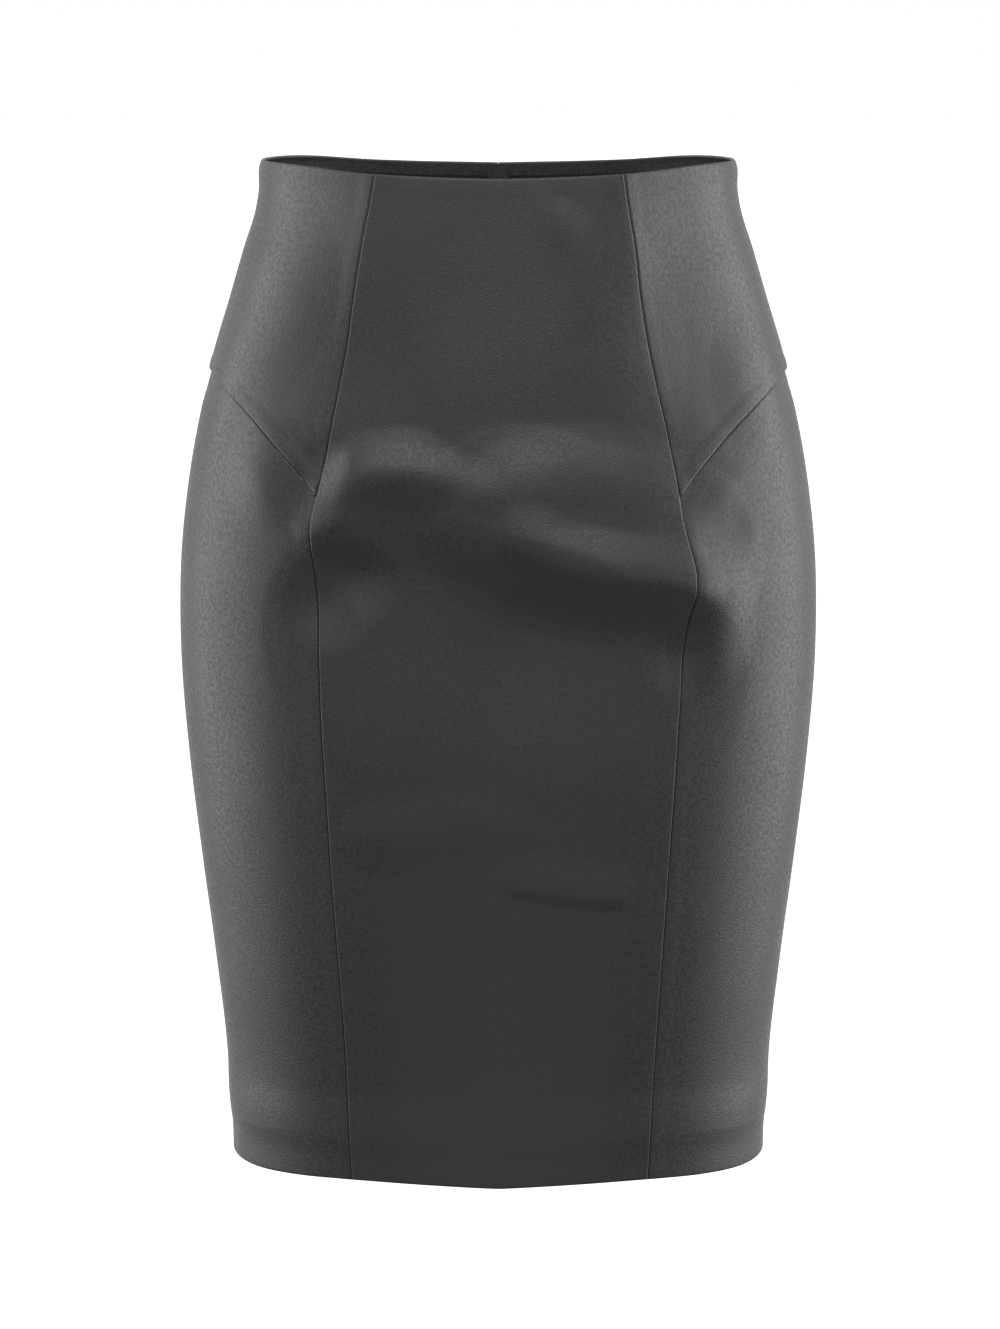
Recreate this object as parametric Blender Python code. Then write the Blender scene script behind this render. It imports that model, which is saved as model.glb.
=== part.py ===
"""A high-waisted pencil skirt of heavy satin, filled out as it is worn.

Metres, +Z up. The front faces -Y and +X is the wearer's left. The origin is the middle of the waist, where
the wearer holds the skirt up. A place on the cloth is given by its turn, the angle round from the centre
front towards the wearer's left, and its height.
"""

import math
from collections import namedtuple

import bmesh
import bpy
import numpy as np

# Cloth
WALL = 0.0014
TURNED_EDGE = 0.0008  # what the turned-in top edge and the turned-up hem add to the wall
TOP_TURNING = 0.010
HEM_TURNING = 0.026
TURNING_STEP = 0.003  # length over which a turning thins out into the wall
SEAM_GAP = 0.0004  # free space between two panels at a seam
EDGE_ROLL = 0.0005  # how far a panel's outer face dips at its edges
EDGE_BAND = 0.0024  # width of that dip
SIDE_SEAM_TURN = 96.0  # degrees, a little behind the widest place

# How finely the panels are cut
FRONT_ROWS = 40
FRONT_COLUMNS = 18
SIDE_COLUMNS = 9
BACK_ROWS = 28
BACK_COLUMNS = 11
SIDE_WIDTH = 0.110  # of the side pieces, round the cloth
CREASED_STRETCH = (0.20, 0.46, 2.2)  # where the front's rows lie closer, in shares of its length, and how much
STRETCH_EASE = 0.05  # share of the length over which the rows come closer
SHARE_SAMPLES = 400
TURN_STEP = 0.05  # degrees, for the surface's directions
HEIGHT_STEP = 0.0002
AT_END = 1e-6  # share within which a point is on a panel's edge

# The worn form, from the top edge to the hem; squareness is 2 for an ellipse and more for a squarer section
Ring = namedtuple("Ring", "height half_width front_depth back_depth squareness")
RINGS = [
    Ring(0.0120, 0.1275, 0.1008, 0.0962, 2.20),
    Ring(0.0090, 0.1296, 0.1011, 0.0970, 2.20),
    Ring(0.0055, 0.1310, 0.1014, 0.0977, 2.20),
    Ring(0.0000, 0.1316, 0.1019, 0.0984, 2.20),
    Ring(-0.006, 0.1316, 0.1024, 0.0989, 2.20),
    Ring(-0.016, 0.1330, 0.1032, 0.0997, 2.20),
    Ring(-0.041, 0.1407, 0.1053, 0.1030, 2.16),
    Ring(-0.069, 0.1490, 0.1076, 0.1075, 2.11),
    Ring(-0.097, 0.1575, 0.1097, 0.1135, 2.11),
    Ring(-0.124, 0.1636, 0.1116, 0.1195, 2.16),
    Ring(-0.152, 0.1693, 0.1133, 0.1245, 2.19),
    Ring(-0.180, 0.1735, 0.1146, 0.1275, 2.20),
    Ring(-0.208, 0.1763, 0.1152, 0.1285, 2.20),
    Ring(-0.236, 0.1773, 0.1149, 0.1275, 2.20),
    Ring(-0.265, 0.1770, 0.1143, 0.1250, 2.20),
    Ring(-0.321, 0.1730, 0.1126, 0.1180, 2.21),
    Ring(-0.379, 0.1664, 0.1105, 0.1120, 2.23),
    Ring(-0.436, 0.1592, 0.1080, 0.1070, 2.26),
    Ring(-0.494, 0.1532, 0.1060, 0.1035, 2.25),
    Ring(-0.518, 0.1524, 0.1057, 0.1026, 2.23),
    Ring(-0.532, 0.1506, 0.1050, 0.1018, 2.21),
    Ring(-0.550, 0.1501, 0.1048, 0.1013, 2.20),
]
WAIST_RING = RINGS[3]

# Height of the top edge, by how far out to the side it is (0 centre, 1 side)
Rim = namedtuple("Rim", "across height")
RIM = [
    Rim(0.00, 0.0026),
    Rim(0.37, 0.0040),
    Rim(0.54, 0.0052),
    Rim(0.65, 0.0065),
    Rim(0.77, 0.0080),
    Rim(0.90, 0.0089),
    Rim(1.00, 0.0090),
]

# Height of the hem, by its turn from the centre front
Hem = namedtuple("Hem", "turn height")
HEM = [
    Hem(0.0, -0.5463),
    Hem(11.0, -0.5450),
    Hem(28.0, -0.5444),
    Hem(46.0, -0.5460),
    Hem(62.0, -0.5473),
    Hem(80.0, -0.5476),
    Hem(110.0, -0.5470),
    Hem(180.0, -0.5465),
]

# Distance of the princess seams from the middle, on the wearer's right and left
Seam = namedtuple("Seam", "height right left")
PRINCESS = [
    Seam(0.012, 0.0630, 0.0640),
    Seam(-0.010, 0.0668, 0.0673),
    Seam(-0.034, 0.0716, 0.0722),
    Seam(-0.064, 0.0768, 0.0768),
    Seam(-0.088, 0.0808, 0.0812),
    Seam(-0.104, 0.0842, 0.0846),
    Seam(-0.134, 0.0903, 0.0911),
    Seam(-0.167, 0.0977, 0.0965),
    Seam(-0.182, 0.1005, 0.0984),
    Seam(-0.194, 0.1009, 0.1011),
    Seam(-0.206, 0.1003, 0.1031),
    Seam(-0.218, 0.0997, 0.1030),
    Seam(-0.248, 0.0978, 0.1013),
    Seam(-0.285, 0.0962, 0.0986),
    Seam(-0.328, 0.0935, 0.0955),
    Seam(-0.367, 0.0913, 0.0930),
    Seam(-0.412, 0.0882, 0.0901),
    Seam(-0.460, 0.0846, 0.0871),
    Seam(-0.512, 0.0821, 0.0839),
    Seam(-0.550, 0.0797, 0.0815),
]

# Height of the slanted yoke seams, from the princess seam (0) to the side seam (1)
Slant = namedtuple("Slant", "across height")
YOKE_SEAM = [
    Slant(0.00, -0.1670),
    Slant(0.10, -0.1522),
    Slant(0.22, -0.1380),
    Slant(0.39, -0.1228),
    Slant(0.69, -0.1080),
    Slant(0.85, -0.1063),
    Slant(1.00, -0.1060),
]
YOKE_STEP = 0.0009  # how far the cloth under a yoke seam lies in from the yoke
YOKE_STEP_REACH = 0.016  # and how far down that fades out

# How far the cloth stands out along the princess seams, on the wearer's right and left
Ridge = namedtuple("Ridge", "height right left")
SEAM_RIDGE = [
    Ridge(0.012, 0.0038, 0.0050),
    Ridge(-0.034, 0.0032, 0.0040),
    Ridge(-0.064, 0.0014, 0.0010),
    Ridge(-0.086, 0.0004, 0.0000),
    Ridge(-0.110, 0.0000, 0.0000),
    Ridge(-0.550, 0.0000, 0.0000),
]
RIDGE_REACH_FRONT = 0.060  # how far that fades out over the front panel
RIDGE_REACH_SIDE = 0.045  # and over the side pieces

# Creases: how far each stands out (or lies in), how far it spreads above and below its line, the share of
# its length over which it fades out at each end, and that line as (turn in degrees, height)
Crease = namedtuple("Crease", "name rise above below ends line")
CREASES = [
    Crease("belly_ridge", 0.0022, 0.085, 0.085, 0.25,
           [(0, 0.060), (0, 0.000), (1, -0.045), (3, -0.080), (4, -0.115)]),
    Crease("belly_hollow", -0.0018, 0.045, 0.045, 0.55,
           [(-4, 0.040), (-3, -0.010), (-2, -0.060), (-1, -0.105), (0, -0.140)]),
    Crease("belly_swell", 0.0020, 0.048, 0.048, 0.50,
           [(22, -0.015), (23, -0.060), (24, -0.105), (24, -0.150)]),
    Crease("waist_fold", 0.0009, 0.016, 0.016, 0.35,
           [(8, -0.006), (13, -0.020), (17, -0.040), (17, -0.064), (14, -0.084)]),
    Crease("yoke_hollow_left", -0.0050, 0.070, 0.070, 0.35,
           [(42, -0.020), (43, -0.050), (44, -0.085), (42, -0.115)]),
    Crease("crest_right", 0.0046, 0.028, 0.028, 0.24,
           [(-30, -0.187), (-29.5, -0.176), (-27.5, -0.164), (-24, -0.155), (-18, -0.151), (-12, -0.152),
            (-6, -0.156)]),
    Crease("crest_middle", 0.0017, 0.016, 0.024, 0.30,
           [(-20, -0.150), (-13, -0.151), (-7, -0.154), (-2, -0.159), (0, -0.168), (2, -0.178)]),
    Crease("swell_left", 0.0068, 0.075, 0.045, 0.20,
           [(-5, -0.180), (3, -0.190), (12, -0.198), (22, -0.202), (31, -0.207), (39, -0.216)]),
    Crease("hump_left", 0.0029, 0.030, 0.032, 0.25,
           [(-4, -0.163), (5, -0.155), (14, -0.151), (23, -0.156), (30, -0.167)]),
    Crease("crest_left", 0.0036, 0.027, 0.019, 0.22,
           [(1.5, -0.179), (4, -0.187), (9, -0.194), (15, -0.199), (21, -0.202), (28, -0.206),
            (34, -0.212), (38, -0.220)]),
    Crease("lobe_crest_left", 0.0021, 0.025, 0.025, 0.35,
           [(36, -0.201), (40, -0.208), (42, -0.219), (41, -0.230), (39, -0.240), (36, -0.247)]),
    Crease("hollow_right", -0.0058, 0.042, 0.110, 0.22,
           [(-25, -0.220), (-20, -0.214), (-10, -0.214), (2, -0.226), (12, -0.240)]),
    Crease("hollow_left", -0.0031, 0.034, 0.100, 0.20,
           [(2, -0.236), (12, -0.245), (22, -0.250), (33, -0.255)]),
    Crease("lobe_right", -0.0036, 0.022, 0.036, 0.25,
           [(-34, -0.226), (-32, -0.216), (-27, -0.209), (-19, -0.206)]),
    Crease("lobe_left", -0.0022, 0.022, 0.026, 0.25,
           [(18, -0.227), (25, -0.230), (30, -0.236), (31.5, -0.247), (31, -0.258)]),
    Crease("seam_hollow_right", -0.0026, 0.020, 0.020, 0.35,
           [(-29, -0.138), (-31.5, -0.152), (-32.5, -0.166), (-31, -0.184)]),
    Crease("hip_crest_right", 0.0030, 0.030, 0.030, 0.45,
           [(-52, -0.030), (-51, -0.062), (-49.5, -0.094), (-47, -0.126), (-44.5, -0.152), (-42, -0.178)]),
    Crease("dimple_left", -0.0022, 0.026, 0.020, 0.40,
           [(36, -0.181), (42, -0.187), (48, -0.185)]),
    Crease("hip_bump_left", 0.0022, 0.038, 0.038, 0.40,
           [(62, -0.085), (61, -0.110), (60, -0.130)]),
    Crease("hem_flare", 0.0016, 0.050, 0.030, 0.20,
           [(-88, -0.545), (-44, -0.542), (0, -0.541), (44, -0.542), (88, -0.545)]),
    Crease("low_crest", 0.0012, 0.024, 0.008, 0.30,
           [(-2, -0.372), (6, -0.379), (16, -0.384), (26, -0.388)]),
    Crease("low_wave", 0.0014, 0.026, 0.024, 0.30,
           [(-30, -0.356), (-16, -0.350), (-4, -0.344), (6, -0.350)]),
    Crease("back_drag_left", 0.0026, 0.034, 0.020, 0.45,
           [(104, -0.196), (124, -0.218), (144, -0.236), (162, -0.246), (178, -0.248)]),
    Crease("back_drag_right", 0.0022, 0.022, 0.034, 0.45,
           [(-108, -0.252), (-126, -0.256), (-144, -0.252), (-162, -0.262), (-176, -0.276)]),
    Crease("back_drag_low", 0.0014, 0.020, 0.028, 0.45,
           [(118, -0.262), (136, -0.280), (154, -0.291), (172, -0.295)]),
    Crease("back_waist", -0.0016, 0.022, 0.026, 0.45,
           [(140, -0.052), (156, -0.064), (172, -0.070), (188, -0.068), (204, -0.058)]),
]
LinePoint = namedtuple("LinePoint", "key turn height")
CREASE_STEPS = 61
CREASE_END_SPREAD = 0.5  # share of its spread that a crease keeps at its ends
CREASE_BLEND = 8  # how much the nearest part of a crease's line counts over the rest

# Waist darts of the back panels
DART_TURN = 146.0
DART_LENGTH = 0.125
DART_DIP = 0.0006
DART_HALF_WIDTH = 0.0024
DART_FADE = 0.3  # share of its length over which a dart runs out

# Walking slit at the centre back
SLIT_TOP = -0.400
SLIT_HALF_OPENING = 0.0022  # at the hem

# Concealed zip in the centre back seam
TAPE_TOP = -0.010
TAPE_LENGTH = 0.200
TAPE_WIDTH = 0.0125
TAPE_THICKNESS = 0.0010
TAPE_SEAT = 0.0003  # free space between the tape and the cloth
TAPE_COLUMNS = 3  # columns of the back panel that a tape lies along
ZIP_HEIGHT = -0.0145  # height of the pull tab's hinge
NECK_WIDTH = 0.0010
NECK_CLEARANCE = 0.0004
NECK_OPENING = 0.009  # half the length over which the seam makes room for the neck
NECK_EASE = 1.6  # above 1, the seam is fully open for part of that length
NECK_RIM = 0.0007  # metal round the hinge hole
HINGE_OFFSET = 0.0018  # from the cloth's outer face to the hinge
HINGE_HOLE = 0.0008
PIN_RADIUS = 0.00045
PULL_HALF_WIDTH = 0.0026
PULL_THICKNESS = 0.0011
PULL_SLOT_HALF = 0.0009
PULL_SLOT_END = 0.0021
PULL_SLOT_DEPTH = 0.003
PIN_INSET = 0.0009  # from the pull's edge to the pin's end
PIN_SIDES = 10
Outline = namedtuple("Outline", "height half_width")
PULL_OUTLINE = [
    Outline(0.0009, 0.0018),
    Outline(-0.0002, 0.0026),
    Outline(-PULL_SLOT_END, 0.0026),
    Outline(-0.0060, 0.0020),
    Outline(-0.0120, 0.0024),
    Outline(-0.0170, 0.0031),
    Outline(-0.0200, 0.0024),
    Outline(-0.0215, 0.0013),
]
SLIDER_HALF_WIDTH = 0.0034
SLIDER_HALF_LENGTH = 0.0045
SLIDER_THICKNESS = 0.0024
SLIDER_BEVEL = 0.0006
NECK_ARC_POINTS = 9
HOLE_POINTS = 8

SATIN_GREY = (0.070, 0.071, 0.074)
TAPE_GREY = (0.045, 0.045, 0.047)
ENAMEL_GREY = (0.060, 0.061, 0.064)


def clear_scene():
    for thing in list(bpy.data.objects):
        bpy.data.objects.remove(thing, do_unlink=True)


def smooth_through(rows, column, at):
    """Values at `at` of a smooth curve through one column of a table whose first column is the key."""
    keys = np.array([row[0] for row in rows], float)
    values = np.array([getattr(row, column) for row in rows], float)
    if keys[0] > keys[-1]:
        keys, values = keys[::-1], values[::-1]
    slopes = np.gradient(values, keys)
    at = np.clip(at, keys[0], keys[-1])
    i = np.clip(np.searchsorted(keys, at) - 1, 0, len(keys) - 2)
    span = keys[i + 1] - keys[i]
    t = (at - keys[i]) / span
    return (
        values[i] * (2 * t**3 - 3 * t**2 + 1)
        + slopes[i] * span * (t**3 - 2 * t**2 + t)
        + values[i + 1] * (3 * t**2 - 2 * t**3)
        + slopes[i + 1] * span * (t**3 - t**2)
    )


def smooth_step(t):
    t = np.clip(t, 0.0, 1.0)
    return t * t * (3 - 2 * t)


def form_point(turn, height):
    """Points of the smooth worn form, without creases."""
    angle = np.radians(turn)
    side, ahead = np.sin(angle), np.cos(angle)
    power = 2 / smooth_through(RINGS, "squareness", height)
    depth = np.where(
        ahead > 0,
        smooth_through(RINGS, "front_depth", height),
        smooth_through(RINGS, "back_depth", height),
    )
    x = smooth_through(RINGS, "half_width", height) * np.sign(side) * np.abs(side) ** power
    y = -depth * np.sign(ahead) * np.abs(ahead) ** power
    return np.stack([x, y, height + 0 * x], axis=-1)


def normals_of(surface, turn, height):
    """Outward normals of a surface, from short steps round and down it."""
    round_it = surface(turn + TURN_STEP, height) - surface(turn - TURN_STEP, height)
    up_it = surface(turn, height + HEIGHT_STEP) - surface(turn, height - HEIGHT_STEP)
    normal = np.cross(round_it, up_it)
    return normal / np.linalg.norm(normal, axis=-1, keepdims=True)


def crease_height(crease, points):
    """How far one crease moves each point out: the places along its line blend softly, the nearest most."""
    rows = [LinePoint(key, *point) for key, point in enumerate(crease.line)]
    share = np.linspace(0, 1, CREASE_STEPS)[1:-1]
    keys = share * (len(rows) - 1)
    line = form_point(smooth_through(rows, "turn", keys), smooth_through(rows, "height", keys))
    offset = points[..., None, :] - line
    gap = np.linalg.norm(offset, axis=-1)
    upper = 0.5 + 0.5 * offset[..., 2] / np.maximum(gap, 1e-6)
    full = smooth_step(np.minimum(share, 1 - share) / crease.ends)
    spread = crease.below + (crease.above - crease.below) * upper
    spread = spread * (CREASE_END_SPREAD + (1 - CREASE_END_SPREAD) * full)
    each = full * np.cos(np.pi / 2 * np.clip(gap / spread, 0, 1)) ** 2
    weight = each**CREASE_BLEND + 1e-12
    return crease.rise * (each * weight).sum(-1) / weight.sum(-1)


def ridge_height(turn, height):
    """How far the princess seams stand out: round on the front panel's side and sharp on the yoke's."""
    lift = 0 * turn
    for edge, outward, column in ((princess_right(height), -1, "right"), (princess_left(height), 1, "left")):
        round_it = form_point(edge + 1, height) - form_point(edge - 1, height)
        beyond = (turn - edge) * outward * np.linalg.norm(round_it, axis=-1) / 2
        front = np.cos(np.pi / 2 * np.clip(-beyond / RIDGE_REACH_FRONT, 0, 1)) ** 2
        side = (1 - np.clip(beyond / RIDGE_REACH_SIDE, 0, 1)) ** 2
        rise = np.maximum(smooth_through(SEAM_RIDGE, column, height), 0)
        lift = lift + rise * np.where(beyond < 0, front, side)
    return lift


def cloth_point(turn, height):
    """Points of the cloth's outer face, with its creases."""
    points = form_point(turn, height)
    lift = sum(crease_height(crease, points) for crease in CREASES) + ridge_height(turn, height)
    return points + lift[..., None] * normals_of(form_point, turn, height)


def turn_at(distance, height):
    """The turn at which the form is this far from the middle plane, on the front."""
    share = np.clip(distance / smooth_through(RINGS, "half_width", height), -1, 1)
    power = smooth_through(RINGS, "squareness", height) / 2
    return np.degrees(np.arcsin(np.sign(share) * np.abs(share) ** power))


def rim_height(turn):
    return smooth_through(RIM, "height", np.abs(np.sin(np.radians(turn))))


def hem_height(turn):
    return smooth_through(HEM, "height", np.abs(turn))


def princess_right(height):
    return turn_at(-smooth_through(PRINCESS, "right", height), height)


def princess_left(height):
    return turn_at(smooth_through(PRINCESS, "left", height), height)


def side_seam(height):
    return SIDE_SEAM_TURN + 0 * height


def back_edge(height):
    """Turn of the back panels' centre edges: close together, but for the zip's neck and the walking slit."""
    neck = NECK_WIDTH / 2 + NECK_CLEARANCE - SEAM_GAP / 2
    room = neck * smooth_step(NECK_EASE * (1 - np.abs(height - ZIP_HEIGHT) / NECK_OPENING))
    slit = SLIT_HALF_OPENING * smooth_step((SLIT_TOP - height) / (SLIT_TOP - HEM[-1].height))
    return 180 - turn_at(room + slit, height)


def cloth_thickness(height, top, hem):
    """The wall, with the turned-in top edge and the turned-up hem."""
    at_top = smooth_step((height - (top - TOP_TURNING - TURNING_STEP)) / TURNING_STEP)
    at_hem = smooth_step(((hem + HEM_TURNING + TURNING_STEP) - height) / TURNING_STEP)
    return WALL + TURNED_EDGE * (at_top + at_hem)


def dart_dip(turn, height):
    """Depth of the two darts' seams at each point."""
    reach = np.abs(np.abs(turn) - DART_TURN) * math.radians(1) * WAIST_RING.half_width
    fade = smooth_step((height + DART_LENGTH) / (DART_FADE * DART_LENGTH))
    return DART_DIP * fade * smooth_step(1 - reach / DART_HALF_WIDTH)


def material(name, colour, roughness, metallic=0.0):
    made = bpy.data.materials.new(name)
    made.use_nodes = True
    shader = made.node_tree.nodes["Principled BSDF"]
    shader.inputs["Base Color"].default_value = (*colour, 1)
    shader.inputs["Roughness"].default_value = roughness
    shader.inputs["Metallic"].default_value = metallic
    made.diffuse_color = (*colour, 1)
    return made


def add_object(name, mesh, its_material):
    mesh.materials.append(its_material)
    mesh.shade_smooth()
    mesh.set_sharp_from_angle(angle=math.radians(40))
    made = bpy.data.objects.new(name, mesh)
    bpy.context.scene.collection.objects.link(made)
    return made


def closed_sheet(name, outer, inner):
    """A closed wall between two grids of points with the same rows and columns."""
    rows, columns = outer.shape[:2]
    form = bmesh.new()
    faces_of = [[[form.verts.new(p) for p in row] for row in grid] for grid in (outer, inner)]
    front, back = faces_of
    for r in range(rows - 1):
        for c in range(columns - 1):
            form.faces.new((front[r][c], front[r + 1][c], front[r + 1][c + 1], front[r][c + 1]))
            form.faces.new((back[r][c], back[r][c + 1], back[r + 1][c + 1], back[r + 1][c]))
    edge = [(0, c) for c in range(columns - 1)]
    edge += [(r, columns - 1) for r in range(rows - 1)]
    edge += [(rows - 1, c) for c in range(columns - 1, 0, -1)]
    edge += [(r, 0) for r in range(rows - 1, 0, -1)]
    for (r0, c0), (r1, c1) in zip(edge, edge[1:] + edge[:1]):
        form.faces.new((front[r0][c0], front[r1][c1], back[r1][c1], back[r0][c0]))
    mesh = bpy.data.meshes.new(name)
    form.to_mesh(mesh)
    form.free()
    return mesh


def shares(count, edge, dense=None):
    """Even steps from 0 to 1 with a narrow step at each end, and more steps inside a dense stretch."""
    inside = np.linspace(0, 1, SHARE_SAMPLES)
    weight = np.ones_like(inside)
    if dense:
        start, stop, times = dense
        rise, fall = (inside - start) / STRETCH_EASE, (stop - inside) / STRETCH_EASE
        weight += (times - 1) * smooth_step(rise) * smooth_step(fall)
    run = np.concatenate([[0], np.cumsum((weight[1:] + weight[:-1]) / 2)])
    even = np.interp(np.linspace(0, 1, count + 1), run / run[-1], inside)
    return np.concatenate([[0, edge], even[1:-1], [1 - edge, 1]])


def panel(name, first_edge, last_edge, bottom, columns, rows, top=rim_height):
    """One cut piece between two edges, given as turn by height, from its top to its bottom edge.

    `top` gives a height by turn, or, as `bottom` does, by share across the piece.
    """
    u, v = np.meshgrid(columns, rows)
    middle_turn = first_edge(np.zeros_like(u)) * (1 - u) + last_edge(np.zeros_like(u)) * u
    hem_turn = first_edge(0 * u + HEM[-1].height) * (1 - u) + last_edge(0 * u + HEM[-1].height) * u
    high = top(middle_turn) if top is rim_height else top(u)
    low = bottom(hem_turn) if bottom is hem_height else bottom(u)
    height = high + (low - high) * v
    # a seam takes its half gap from both edges, and a slanted or level seam from the height
    height = height - (SEAM_GAP / 2) * (1 - v) * (top is not rim_height)
    height = height + (SEAM_GAP / 2) * v * (bottom is not hem_height)
    first, last = first_edge(height), last_edge(height)
    turn = first * (1 - u) + last * u
    points = cloth_point(turn, height)
    normal = normals_of(cloth_point, turn, height)
    side_step = np.cross(normal, [0, 0, 1.0])
    side_step /= np.linalg.norm(side_step, axis=-1, keepdims=True)
    at_side = (u < AT_END) | (u > 1 - AT_END)
    at_top, at_bottom = v < AT_END, v > 1 - AT_END
    points = points + side_step * (SEAM_GAP / 2 * (2 * u - 1) * at_side)[..., None]
    rim, hem = rim_height(turn), hem_height(turn)
    thickness = cloth_thickness(height, rim, hem)
    dip = EDGE_ROLL * (at_side | at_top | at_bottom) + dart_dip(turn, height)
    if bottom is hem_height and top is not rim_height:
        dip = dip + YOKE_STEP * smooth_step(1 - (high - height) / YOKE_STEP_REACH)
    free_edge = (at_top & (top is rim_height)) | (at_bottom & (bottom is hem_height))
    outer = points - normal * dip[..., None]
    inset = thickness + np.maximum(dip - EDGE_ROLL, 0) - EDGE_ROLL * free_edge
    inner = points - normal * inset[..., None]
    add_object(name, closed_sheet(name, outer, inner), material(f"satin {name}", SATIN_GREY, 0.4))
    return inner, normal


def mirrored(seam):
    return lambda height: -seam(height)


def build_fronts():
    """The front panel, the yokes and the side fronts, with rows that meet along the princess seams."""
    waist, hem, corner = RIM[2].height, HEM[2].height, YOKE_SEAM[0].height
    meeting = (waist - corner) / (waist - hem)
    rows = shares(FRONT_ROWS, EDGE_BAND / (waist - hem), CREASED_STRETCH)
    rows[np.abs(rows - meeting).argmin()] = meeting
    upper = rows[rows <= meeting] / meeting
    lower = (rows[rows >= meeting] - meeting) / (1 - meeting)
    upper = np.insert(upper, -1, 1 - EDGE_BAND / (waist - corner))
    lower = np.insert(lower, 1, EDGE_BAND / (corner - hem))
    widest = max(seam.right + seam.left for seam in PRINCESS)
    front_columns = shares(FRONT_COLUMNS, EDGE_BAND / widest)
    panel("front_panel", princess_right, princess_left, hem_height, front_columns, rows)
    columns = shares(SIDE_COLUMNS, EDGE_BAND / SIDE_WIDTH)

    def slant_left(share):
        return smooth_through(YOKE_SEAM, "height", share)

    def slant_right(share):
        return slant_left(1 - share)

    panel("yoke_left", princess_left, side_seam, slant_left, columns, upper)
    panel("side_front_left", princess_left, side_seam, hem_height, columns, lower, top=slant_left)
    edges = mirrored(side_seam), princess_right
    panel("yoke_right", *edges, slant_right, columns, upper)
    panel("side_front_right", *edges, hem_height, columns, lower, top=slant_right)


def build_backs():
    """The back panels, each with a column of points on its dart and one along the edge of the zip's tape."""
    full = 180 - SIDE_SEAM_TURN
    width = WAIST_RING.half_width * math.radians(full)
    dart = (DART_TURN - SIDE_SEAM_TURN) / full
    dart_edge = DART_HALF_WIDTH / width
    named = [dart - dart_edge, dart, dart + dart_edge, 1 - TAPE_WIDTH / width]
    even = shares(BACK_COLUMNS, EDGE_BAND / width)
    plain = [
        share for share in even
        if min(abs(share - n) for n in named) > 2 * dart_edge or share > named[-1]
    ]
    columns = np.sort(plain + named)
    rows = shares(BACK_ROWS, EDGE_BAND / (RIM[0].height - HEM[0].height))
    left = panel("back_left", side_seam, back_edge, hem_height, columns, rows)
    seams = mirrored(back_edge), mirrored(side_seam)
    right = panel("back_right", *seams, hem_height, 1 - columns[::-1], rows)
    return left, right


def build_tapes(left, right):
    """The zip's tapes, made from the back panels' inner points and moved inwards."""
    for side, (inner, normal) in (("left", left), ("right", right)):
        heights = inner[:, -1 if side == "left" else 0, 2]
        rows = np.flatnonzero((heights < TAPE_TOP) & (heights > TAPE_TOP - TAPE_LENGTH))
        columns = slice(-TAPE_COLUMNS, None) if side == "left" else slice(0, TAPE_COLUMNS)
        seat = inner[rows, columns] - TAPE_SEAT * normal[rows, columns]
        mesh = closed_sheet(f"zip_tape_{side}", seat, seat - TAPE_THICKNESS * normal[rows, columns])
        add_object(f"zip_tape_{side}", mesh, material(f"tape {side}", TAPE_GREY, 0.85))


def box(name, low, high):
    """A box mesh between two corners."""
    form = bmesh.new()
    bmesh.ops.create_cube(form, size=1)
    for vertex in form.verts:
        for axis in range(3):
            vertex.co[axis] = low[axis] if vertex.co[axis] < 0 else high[axis]
    mesh = bpy.data.meshes.new(name)
    form.to_mesh(mesh)
    form.free()
    return mesh


def hidden(name, mesh):
    made = bpy.data.objects.new(name, mesh)
    bpy.context.scene.collection.objects.link(made)
    made.hide_render = True
    made.display_type = "WIRE"
    return made


def combine(target, other, operation):
    step = target.modifiers.new(other.name, "BOOLEAN")
    step.operation = operation
    step.object = other


def prism(name, outline, half_width, holes=()):
    """A plate of even width along X, from an outline in Y and Z given anticlockwise seen from +X."""
    form = bmesh.new()
    for outline_points in (outline, *holes):
        ring = [form.verts.new((-half_width, y, z)) for y, z in outline_points]
        for a, b in zip(ring, ring[1:] + ring[:1]):
            form.edges.new((a, b))
    bmesh.ops.triangle_fill(form, edges=form.edges[:], use_beauty=True)
    for face in form.faces:
        if face.normal.x > 0:
            face.normal_flip()
    made = bmesh.ops.extrude_face_region(form, geom=form.faces[:])
    moved = [v for v in made["geom"] if isinstance(v, bmesh.types.BMVert)]
    bmesh.ops.translate(form, verts=moved, vec=(2 * half_width, 0, 0))
    bmesh.ops.recalc_face_normals(form, faces=form.faces[:])
    mesh = bpy.data.meshes.new(name)
    form.to_mesh(mesh)
    form.free()
    return mesh


def rounded(centre_y, centre_z, radius, start, stop, count):
    """Points along an arc in Y and Z, angles in degrees from +Y towards +Z."""
    angles = np.radians(np.linspace(start, stop, count))
    return [(centre_y + radius * math.cos(a), centre_z + radius * math.sin(a)) for a in angles]


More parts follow.
